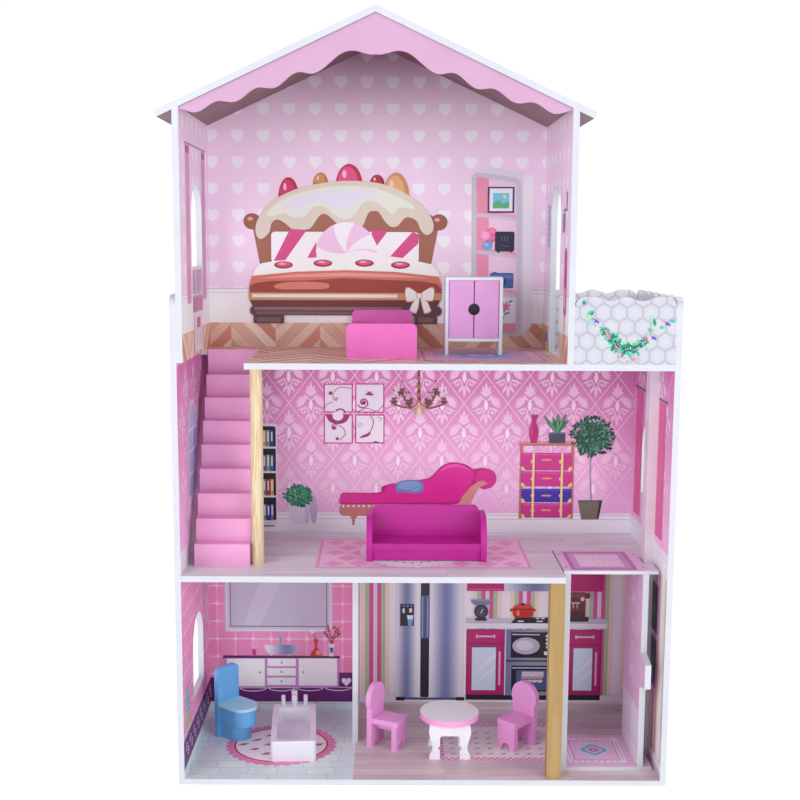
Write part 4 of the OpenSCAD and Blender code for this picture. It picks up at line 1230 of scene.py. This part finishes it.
def vanity_cupboard(p):
    """Cupboard with five white fronts above a row of scallops."""
    p.add((240, 232, 246), *(disc(spot, 24, 7, 180, 360) for spot in ((-283.5, 46.5), (-234.5, 47),
        (-186, 47.5), (-137, 48))))
    p.add(PLUM, *(disc(spot, 21, 4.4, 180, 360) for spot in ((-283.5, 45.5), (-234.5, 46),
        (-186, 46.5), (-137, 47))))
    a, b = (-334, 47), (-135.5, 102)
    p.add((208, 142, 212), rect(a, b))
    fronts = (
        ((-329, 48.5), (-263, 98.5)),
        ((-259, 84.5), (-209.5, 99)),
        ((-259.5, 67.5), (-209.5, 82)),
        ((-259.5, 51), (-210, 65)),
        ((-205.5, 50), (-138.5, 99.5)),
    )
    for low, high in fronts:
        p.add((196, 188, 214), rect(low, high))
        p.add((252, 253, 255), rect((low[0] + 0.8, low[1] + 0.8), (high[0] - 0.4, high[1] - 0.4)))
    p.add((176, 172, 206), *(disc(spot, 2) for spot in ((-271.5, 74), (-234, 91.5), (-234.5, 75),
        (-234.5, 58), (-197, 74.5))))
    p.add((96, 44, 104), slab((-334.5, 99.5), (-134, 104), 1))


def vanity_basin(p):
    """Steel basin with its tap."""
    left, right, top, deep, steps = -264, -203.5, 123, 17, 28
    rim = [(left + (right - left) * k / steps, top) for k in range(steps + 1)]
    bottom = [(x, z - deep * (1 - abs(2 * k / steps - 1) ** 7)) for k, (x, z) in enumerate(rim)]
    for k in range(steps):
        strip = [rim[k], rim[k + 1], bottom[k + 1], bottom[k]]
        p.polygons.append((strip, steel_tone(0.8 * k / steps), 0.6))
    p.add((178, 180, 210), poly((-236.5, 123), (-237.5, 135.5), (-236, 140.5), (-232, 140.5),
        (-230.5, 135.5), (-231.5, 123)))
    p.add((110, 116, 160), line(1, (-235.5, 124.5), (-235.5, 137)))


def vanity_things(p):
    """Brushes in a cup, a red vase with a daisy and a glass of twigs."""
    p.add((206, 50, 140), poly((-284.5, 115.5), (-277.5, 115.5), (-278.5, 104.5), (-283.5, 104.5)))
    p.add((238, 210, 230), line(1.2, (-282.5, 115.5), (-286.5, 128.5)),
        line(1.2, (-279.5, 115.5), (-275.5, 130)))
    p.add((206, 40, 40), blob((-179, 133), (-171.5, 133), (-173, 124), (-172.5, 117.5),
        (-166, 109.5), (-168, 104), (-182.5, 104), (-183.5, 109), (-177.5, 117.5), (-177, 124)))
    p.add((240, 150, 150), disc((-171, 109.5), 4.6))
    p.add((70, 130, 80), line(0.8, (-175.5, 132.5), (-177.5, 140.5), (-180.5, 146)))
    p.add((246, 244, 246), *(leaf((-181, 147.5), turn, 5.4, 2.8) for turn in range(0, 360, 45)))
    p.add((244, 208, 80), disc((-181, 147.5), 1.7))
    p.add((230, 230, 242), poly((-154, 125.5), (-142, 125.5), (-145.5, 109.5), (-143.5, 103.5),
        (-153.5, 103.5), (-150.5, 109.5)))
    p.add((58, 70, 170), poly((-152, 118.5), (-145, 118.5), (-146.5, 109.5), (-149.5, 109.5)))
    p.add((138, 44, 62), line(1, (-148.5, 125.5), (-154.5, 137.5), (-162, 145.5)),
        line(1, (-148.5, 125.5), (-151.5, 145), (-154.5, 159.5)),
        line(1, (-148, 125.5), (-144, 142), (-134.5, 155.5)),
        line(1, (-148, 125.5), (-142.5, 136.5), (-132.5, 144.5)))
    p.add((176, 60, 78), foliage((-147.5, 144.5), 13, 10, 34, 4.5, 8))


def vanity():
    p = Picture("print_vanity", BACK_WALL)
    for draw in (vanity_cupboard, vanity_basin, vanity_things):
        draw(p)
    p.build()


def bath_skirting():
    p = Picture("print_skirting_back", BACK_WALL)
    p.add(PLUM, rect((-138, 60), (-109, 74)))
    p.add((246, 240, 250), heart((-123, 58), 17))
    p.build()
    p = Picture("print_skirting_left", LEFT_WALL, "wall_board")
    for y in range(24, 264, 34):
        p.add((240, 234, 248), swirl((y, 48), 8, 2.4, 20, 1.0),
            swirl((y + 15, 40), 8, 2.4, 200, 1.0))
    p.build()


def bath_towels():
    p = Picture("print_bath_towels", LEFT_WALL, "wall_board")
    towels = ((26, 100, (116, 190, 196)), (26, 66, (176, 196, 140)), (52, 84, (226, 150, 196)))
    for y, z, shade in towels:
        p.add(shade, rect((y, z), (y + 24, z + 36)))
        p.add(lighter(shade, 30), rect((y, z + 6), (y + 24, z + 10)),
            rect((y, z + 24), (y + 24, z + 27)))
    p.add((150, 140, 170), line(1.6, (22, 137), (80, 137)))
    for z in (140, 205):
        p.add((214, 206, 224), rect((218, z), (262, z + 52)))
        p.add((228, 170, 206), rect((223, z + 5), (257, z + 47)))
        p.add((200, 120, 180), heart((240, z + 28), 16))
    p.build()


def bath_rug():
    p = Picture("print_bath_rug", GROUND_FLOOR, "floor_board")
    x0, x1, y0, y1 = -311.5, -133, 46.5, 208.5
    x, y, a, b = (x0 + x1) / 2, (y0 + y1) / 2, (x1 - x0) / 2, (y1 - y0) / 2
    p.add((240, 138, 186), scalloped((x, y), a, b, 34, 0.06))
    p.add((188, 36, 72), disc((x, y), a - 14, b - 14))
    p.add((252, 246, 250), disc((x, y), a - 17, b - 17))
    places = []
    for i in range(-3, 4):
        for j in range(-3, 4):
            if (i + j) % 2 and math.hypot(i, j) < 3.2:
                places.append((x + i * (a - 17) / 3.6, y + j * (b - 17) / 3.6))
    p.add((70, 130, 110), *(leaf(q, turn, 10, 3.6) for q in places for turn in (30, 200)))
    p.add((206, 64, 92), *(disc(q, 4.4) for q in places))
    p.add((240, 140, 160), *(disc((q[0] - 0.8, q[1] + 0.8), 1.5) for q in places))
    p.build()


mirror()
vanity()
bath_skirting()
bath_towels()
bath_rug()

# ------------------------------------------------------------------ kitchen pictures


def fridge():
    p = Picture("print_fridge", BACK_WALL)
    top = 300
    a, b = (-39, 26), (78, 240)
    p.add((226, 222, 236), rect(a, (b[0], top)))
    gap_left, gap_right = 4, 19
    p.shades((a[0] + 2, a[1] + 3), (gap_left, top), 22, lambda t: steel_tone(t + 0.08))
    p.shades((gap_right, a[1] + 3), (b[0] - 2, top), 24, lambda t: steel_tone(t * 0.92 + 0.04))
    p.add(CHARCOAL, slab((gap_left, 30.5), (gap_right, top), 3))
    p.add((92, 98, 146), slab((gap_left - 0.5, 135.5), (gap_right + 0.5, 211.5), 3))
    p.add((150, 156, 196), rect((gap_left + 2, 137.5), (gap_left + 4, 209.5)),
        rect((gap_right - 4, 137.5), (gap_right - 2, 209.5)))
    p.add((40, 40, 60),
        line(0.8, ((gap_left + gap_right) / 2, a[1] + 6), ((gap_left + gap_right) / 2, top)))
    p.add((28, 28, 44), rect((-31, 157.5), (-7.5, 196.5)))
    p.add((84, 110, 180), *(disc(spot, 2.4) for spot in ((-25, 193), (-18.5, 193), (-12, 193))))
    p.add((226, 226, 240), rect((-27, 180.5), (-23.5, 188.5)), rect((-15.5, 181.5), (-11, 188.5)))
    p.add((230, 236, 246), poly((-19.5, 176.5), (-8.5, 176.5), (-10.5, 158.5), (-17, 158.5)))
    p.add((96, 170, 226), poly((-18.5, 169.5), (-9, 169.5), (-10.5, 159), (-17, 159)))
    p.add((70, 84, 140), slab((-22, 26), (65, 30), 1))
    p.add(CHARCOAL, slab((-38, 24.5), (-22, 31), 2), slab((65, 25), (80.5, 31), 2))
    p.build()


def cupboard(p, low, high, drawer):
    """Magenta cupboard: drawer, glazed door and bar handles."""
    line_z = high[1] - drawer
    p.add(CHARCOAL, rect(low, high))
    p.add(CERISE, rect((low[0] + 1, low[1] + 1), (high[0] - 1, line_z - 1)),
        rect((low[0] + 1, line_z), (high[0] - 1, high[1] - 1)))
    middle = (low[0] + high[0]) / 2
    steel_ink = (206, 204, 222)
    bar = high[1] - drawer / 2
    p.add(steel_ink, slab((middle - 16, bar - 1.4), (middle + 16, bar + 1.4), 1))
    ends = (middle - 15, middle + 15)
    p.add(steel_ink, *(rect((x - 1.4, bar - 3), (x + 1.4, bar + 3)) for x in ends))
    pane_low, pane_high = (low[0] + 10, low[1] + 9), (high[0] - 15, line_z - 7)
    p.add((60, 70, 120), inset(pane_low, pane_high, -1))
    p.add((214, 236, 252), rect(pane_low, pane_high))
    wide = pane_high[0] - pane_low[0]
    for shift, band in ((0.12, 7), (0.5, 11)):
        foot = pane_low[1] + shift * 50
        p.add((240, 240, 250), poly((pane_low[0], foot), (pane_high[0], foot + wide * 0.8),
            (pane_high[0], foot + wide * 0.8 + band), (pane_low[0], foot + 2)))
    p.add(steel_ink, slab((high[0] - 10, low[1] + 18), (high[0] - 7, line_z - 14), 1))


def kitchen_run():
    p = Picture("print_kitchen_run", BACK_WALL)
    left, right = 82.5, 314
    base, top, plinth = 34.5, 152, 26
    worktop, back_edge = 153.5, 172
    p.add(CHARCOAL, rect((left, plinth), (right, base)))
    cupboard(p, (left, base), (148.5, top), 25)
    cupboard(p, (256.5, base), (right, top), 26)
    a, b = (150.5, base), (253, top)
    p.shades(a, b, 12, lambda t: (112 + 40 * math.sin(3 * t), 120 + 40 * math.sin(3 * t), 168))
    p.add(CHARCOAL, rect((159, 102), (238.5, 147.5)), rect((160.5, 41.5), (240.5, 88)),
        rect((a[0], 95), (b[0], 97.5)))
    p.add((190, 186, 208), disc((185, 123), 23.5, 15))
    p.add((220, 216, 232), disc((182.5, 124), 15, 9))
    p.add((200, 204, 224), line(2, (161, 143.5), (208.5, 143)), line(2, (162, 84), (226.5, 84)))
    p.add((236, 236, 244), *(disc(spot, 2.6) for spot in ((221, 141), (221, 134.5), (221, 127.5),
        (221.5, 121), (229.5, 141), (229.5, 134.5), (230, 127.5))), rect((216, 107),
        (234.5, 113.5)))
    p.add((78, 92, 142), rect((169, 44.5), (237, 80)))
    p.add((206, 206, 226), rect((178.5, 68), (216, 77.5)))
    p.add((196, 150, 150),
        *(disc(spot, 5, 3) for spot in ((182, 66), (191, 66), (200, 66), (209.5, 66))))
    p.add((232, 230, 240),
        *(disc(spot, 5, 4, 180, 360) for spot in ((182, 62), (191, 62), (200.5, 62), (209.5, 62))))
    p.add((206, 204, 224), rect((left - 2, worktop), (right + 9, back_edge)))
    p.add((236, 234, 246), rect((left - 2, worktop + 1), (right + 9, worktop + 10)))
    p.add((160, 158, 190), rect((left - 2, worktop + 10), (right + 7, worktop + 11)))
    p.add(CHARCOAL, poly((157.5, 163.5), (166.5, 173.5), (240, 173.5), (244.5, 163.5)))
    p.add((232, 232, 242), *(disc(spot, 3.4, 1.2) for spot in ((173, 167), (177, 167),
        (203.5, 172), (212.5, 172), (205, 167), (209.5, 167), (230, 167), (234, 167))))
    hood = (145.5, 220)
    p.add(CERISE, rect((left, hood[1]), (hood[0], 300)), rect((251, 219.5), (right, 300)))
    p.add((236, 80, 170), rect((left + 2, hood[1] + 2), (hood[0] - 2, hood[1] + 4)))
    p.shades((hood[0], hood[1]), (251, 300), 14, lambda t: steel_tone(t * 0.8 + 0.1))
    p.build()


def kitchen_things():
    """Red pot, kitchen scale and coffee machine on the worktop."""
    p = Picture("print_kitchen_things", BACK_WALL, layer=30)
    p.add((196, 40, 34), disc((159, 186.5), 3.4, 2.6), disc((197, 186.5), 3.4, 2.6),
        slab((161, 172.5), (195.5, 190.5), 8))
    p.add((222, 70, 50), disc((178, 189), 17, 8, 0, 180))
    p.add((150, 24, 28), rect((160.5, 187.5), (195.5, 189.5)))
    p.add((44, 40, 56), disc((178, 196.5), 3, 2.4))
    p.add((240, 120, 96), disc((170, 181.5), 3, 5))
    p.add((128, 132, 172), disc((106.5, 205), 18, 12, 180, 360))
    p.add((190, 194, 220), rect((88.5, 203.5), (124.5, 205)))
    p.add((42, 40, 62), disc((107, 184), 12, 12), rect((97, 167.5), (116.5, 172.5)),
        poly((100, 193.5), (113.5, 193.5), (112, 188.5), (102, 188.5)))
    p.add((72, 72, 102), disc((107, 184), 9, 9))
    p.add((240, 240, 246), line(1.3, (106.5, 181), (109.5, 188)))
    p.add((52, 26, 38), slab((250, 166.5), (290.5, 175), 2))
    p.add((112, 46, 46), slab((252, 175), (284.5, 218), 3), slab((281, 207.5), (292, 217), 2))
    p.add((146, 70, 62), rect((252.5, 209.5), (283, 215)))
    p.add((232, 222, 226), disc((279.5, 206.5), 3.6))
    p.add((196, 190, 214), rect((263, 190.5), (265, 198.5)), rect((269.5, 190.5), (271.5, 198.5)),
        slab((260.5, 198.5), (276, 201), 1))
    p.add((74, 30, 38), rect((255.5, 175.5), (284, 184.5)))
    p.build()


def kitchen_rug():
    p = Picture("print_kitchen_rug", GROUND_FLOOR, "floor_board")
    a, b = (27, 70.5), (222.5, 213)
    p.add((248, 218, 240), rect(a, b))
    step = 5
    columns, rows = int((b[0] - a[0]) / step), int((b[1] - a[1]) / step)
    border, spots = [], []
    for i in range(columns):
        for j in range(rows):
            x, y = a[0] + (i + 0.5) * (b[0] - a[0]) / columns, a[1] + (j + 0.5) * (b[1] - a[1]) / rows
            inside = min(i, j, columns - 1 - i, rows - 1 - j)
            if inside < 2 and (i + j) % 2:
                border += rect((x - step / 2, y - step / 2), (x + step / 2, y + step / 2))
            elif inside > 3 and i % 4 == 0 and j % 4 == 0:
                spots.append((x, y))
    p.add((226, 120, 196), border)
    p.add((246, 240, 240), inset(a, b, 2 * step))
    p.add((140, 186, 150), *(leaf(q, 30, 8, 3.4) for q in spots))
    p.add((232, 150, 190), *(disc(q, 2.6) for q in spots))
    p.build()


def kitchen_photos():
    p = Picture("print_kitchen_photos", RIGHT_WALL, "wall_board")
    for z in (134, 218):
        p.add((92, 78, 172), rect((52, z), (112, z + 76)))
        p.add((36, 44, 70), rect((56, z + 4), (108, z + 72)))
        p.add((58, 84, 84), disc((80, z + 30), 18, 24))
        p.add((96, 120, 90), leaf((80, z + 14), 70, 34, 10), leaf((84, z + 20), 120, 30, 9))
    p.build()


fridge()
kitchen_run()
kitchen_things()
kitchen_rug()
kitchen_photos()

# ------------------------------------------------------------------ lift and terrace pictures


def lift_roof_print():
    p = Picture("print_lift_roof", SECOND_FLOOR, "lift_board", "lift")
    a, b = (223, 44), (322, 150)
    p.add((190, 110, 178), slab(a, b, 3))
    p.add((214, 160, 214), rect((a[0] + 6, a[1] + 7), (b[0] - 6, b[1] - 7)))
    p.add((244, 230, 248), rect((a[0] + 16, a[1] + 18), (b[0] - 16, b[1] - 18)))
    for x in (a[0] + 19, a[0] + 52):
        for y in (a[1] + 22, a[1] + 56):
            p.add((244, 206, 234), rect((x, y), (x + 28, y + 28)))
            p.add((250, 220, 240), rect((x + 3, y + 3), (x + 25, y + 25)))
    p.build()


def lift_rug():
    p = Picture("print_lift_rug", LIFT_FLOOR, "lift_board", "lift")
    a, b = (226, 50), (320, 148)
    borders = (
        (0, (240, 196, 236)), (2, (252, 244, 252)), (11, (230, 150, 208)), (13, (248, 212, 240)),
    )
    for edge, shade in borders:
        p.add(shade, inset(a, b, edge))
    x, y = (a[0] + b[0]) / 2, (a[1] + b[1]) / 2
    p.add((184, 170, 214), *(rect((a[0] + 6 + 10 * k, v - 1.5),
        (a[0] + 10 + 10 * k, v + 1.5)) for k in range(8) for v in (a[1] + 6.5, b[1] - 6.5)),
          *(rect((u - 1.5, a[1] + 14 + 10 * k),
              (u + 1.5, a[1] + 18 + 10 * k)) for k in range(7) for u in (a[0] + 6.5, b[0] - 6.5)))
    corners = [(i, j) for i in (-1, 1) for j in (-1, 1)]
    p.add((214, 226, 244), *(leaf((x + i * 18, y + j * 20), 45 * i * (2 - j), 12, 6) for i, j in corners))
    petals = (
        (25, (240, 236, 246)), (21, (120, 196, 226)), (14, (236, 214, 236)), (8, (190, 90, 160)),
        (4, (240, 214, 232)),
    )
    for size, shade in petals:
        p.add(shade, disc((x, y), size, size * 0.62), disc((x, y), size * 0.62, size))
    p.build()


def lift_wall_print():
    p = Picture("print_lift_wall", LIFT_WALL, "lift_board", "lift")
    low, high = (38, 15), (158, 316)
    p.add((236, 230, 240), rect(low, (high[0], 104)))
    p.add((206, 198, 216), rect((low[0], 100), (high[0], 101.6)),
        rect((low[0], 44), (high[0], 45.4)), rect((97, 46), (98.2, 100)))
    p.add((250, 246, 252), rect((low[0], 102), (high[0], 104)))
    damask_pale = (250, 238, 250)
    for z in range(140, 300, 38):
        p.add(damask_pale, *(shape for side in (-1, 1) for shape in (
            swirl((98 + side * 16, z), 10, 1.8, 90, 1.1, side),
            swirl((98 + side * 13, z + 18), 7, 1.6, 270, 1.0, -side),
            leaf((98 + side * 2, z + 4), 90 - side * 34, 16, 5),
        )), leaf((98, z - 8), 90, 30, 7))
    p.build()


def garland():
    p = Picture("print_garland", TERRACE_FRONT, "wall_board")
    rng = random.Random(12)
    path = curve(((250.5, 687), (260, 675.5), (273, 662.5), (289, 656.5), (303.5, 662),
            (312.5, 672.5)), False)
    greens = ((36, 150, 128), (88, 196, 150), (150, 226, 166), (28, 118, 108), (70, 180, 170))
    for shade, spread in ((2, 6), (1, 5.5), (2, 5), (4, 4), (1, 3.6), (0, 3), (3, 1.8)):
        leaves = []
        for k, q in enumerate(path):
            bulk = 0.45 + 0.65 * math.sin(math.pi * k / (len(path) - 1))
            foot = (q[0] + bulk * rng.uniform(-spread, spread),
                q[1] + bulk * rng.uniform(-spread, spread))
            leaves += leaf(foot, rng.uniform(0, 360), bulk * rng.uniform(8, 12),
                bulk * rng.uniform(3.6, 5.4))
        p.add(greens[shade], leaves)
    core = [(q[0] + rng.uniform(-2, 2), q[1] + rng.uniform(-3, 1)) for q in path[8:22]]
    p.add((34, 76, 80), *(disc(q, rng.uniform(0.8, 2.2)) for q in core))
    p.add((70, 184, 168), leaf((225.5, 720), 110, 8, 6), leaf((228, 703.5), 40, 14, 7),
        leaf((315.5, 686.5), 330, 8, 5), leaf((346, 697.5), 0, 9, 5), leaf((331.5, 689), 350, 7, 5))
    p.add((150, 226, 150), leaf((226.5, 702.5), 20, 10, 5), leaf((325, 689), 112, 17, 6))
    p.add((30, 140, 132), leaf((232.5, 705), 45, 8, 4), leaf((325.5, 690), 104, 12, 5),
        leaf((220.5, 723.5), 340, 6, 5))
    p.add((160, 200, 206), disc((234.5, 695), 4.4, 3.6), disc((311, 659.5), 3, 2.6))
    for spot in ((241, 699), (323.5, 675.5), (342.5, 695.5)):
        p.add((92, 78, 196), leaf(spot, 150, 6, 3), leaf(spot, 310, 7, 3.4), leaf(spot, 250, 5, 3))
        p.add((190, 226, 120), disc((spot[0] - 2, spot[1] + 2.4), 1.6))
    p.add((236, 76, 148),
        *(disc(spot, 2.4) for spot in ((257.5, 681), (260, 675.5), (272, 658), (312.5, 673))))
    p.add((246, 130, 180),
        *(disc(spot, 1.4) for spot in ((240.5, 691), (337.5, 698), (310, 667.5))))
    p.add((246, 246, 230),
        *(disc((q[0] + rng.uniform(-3, 3), q[1] + rng.uniform(-4, 4)), 0.7) for q in path[2:-3]))
    tail = (289.5, 647)
    p.add((240, 110, 160), *(disc((tail[0] + rng.uniform(-17, 17),
        tail[1] + rng.uniform(-9, 5)), 0.9) for _ in range(14)))
    p.build()


lift_roof_print()
lift_rug()
lift_wall_print()
garland()

# ------------------------------------------------------------------ set, light, camera


def area_light(name, place, aim, size, power):
    data = bpy.data.lights.new(name, "AREA")
    data.size, data.energy = size, power
    lamp = bpy.data.objects.new(name, data)
    lamp.location = place
    lamp.rotation_euler = (Vector(aim) - Vector(place)).to_track_quat("-Z", "Y").to_euler()
    bpy.context.scene.collection.objects.link(lamp)


bpy.ops.mesh.primitive_plane_add(size=60)
ground = bpy.context.object
ground.name = "studio_floor"
g = Graph("studio_paper")
ground.data.materials.append(
    g.finish(g.mix(g.noise(g.object_coords, 3.0), (252, 252, 254), (248, 248, 251)), 0.8, mottle=0.01)
)
g.surface.inputs["Emission Color"].default_value = (1, 1, 1, 1)
g.surface.inputs["Emission Strength"].default_value = 0.45

# The backdrop looks white to the camera and lights the rooms more softly than that
world = bpy.data.worlds.new("studio")
world.use_nodes = True
sky = world.node_tree.nodes["Background"]
sky.inputs["Color"].default_value = (0.99, 0.99, 1.0, 1.0)
seen = world.node_tree.nodes.new("ShaderNodeLightPath")
level = world.node_tree.nodes.new("ShaderNodeMath")
level.operation = "MULTIPLY_ADD"
level.inputs[1].default_value, level.inputs[2].default_value = 0.42, 0.6
world.node_tree.links.new(seen.outputs["Is Camera Ray"], level.inputs[0])
world.node_tree.links.new(level.outputs[0], sky.inputs["Strength"])
bpy.context.scene.world = world
area_light("front_left", (-1.9, -2.4, 1.3), (0, 0, 0.45), 1.6, 31)
area_light("front_right", (2.1, -2.3, 1.0), (0, 0, 0.4), 1.6, 29)

camera_data = bpy.data.cameras.new("camera")
camera_data.lens = 54.58
camera_data.shift_x, camera_data.shift_y = 0.0156, 0.0168
camera = bpy.data.objects.new("camera", camera_data)
bpy.context.scene.collection.objects.link(camera)
bpy.context.scene.camera = camera
camera.location = (Vector((-56.3, -1723.9, 805.4)) + SHIFT) * MM
yaw, pitch, roll = 0.0011, -0.1394, 0.0042
ahead = Vector((math.sin(yaw) * math.cos(pitch), math.cos(yaw) * math.cos(pitch), math.sin(pitch)))
camera.rotation_mode = "QUATERNION"
camera.rotation_quaternion = ahead.to_track_quat("-Z", "Y") @ Quaternion((0, 0, 1), roll)
bpy.context.scene.view_settings.view_transform = "Standard"
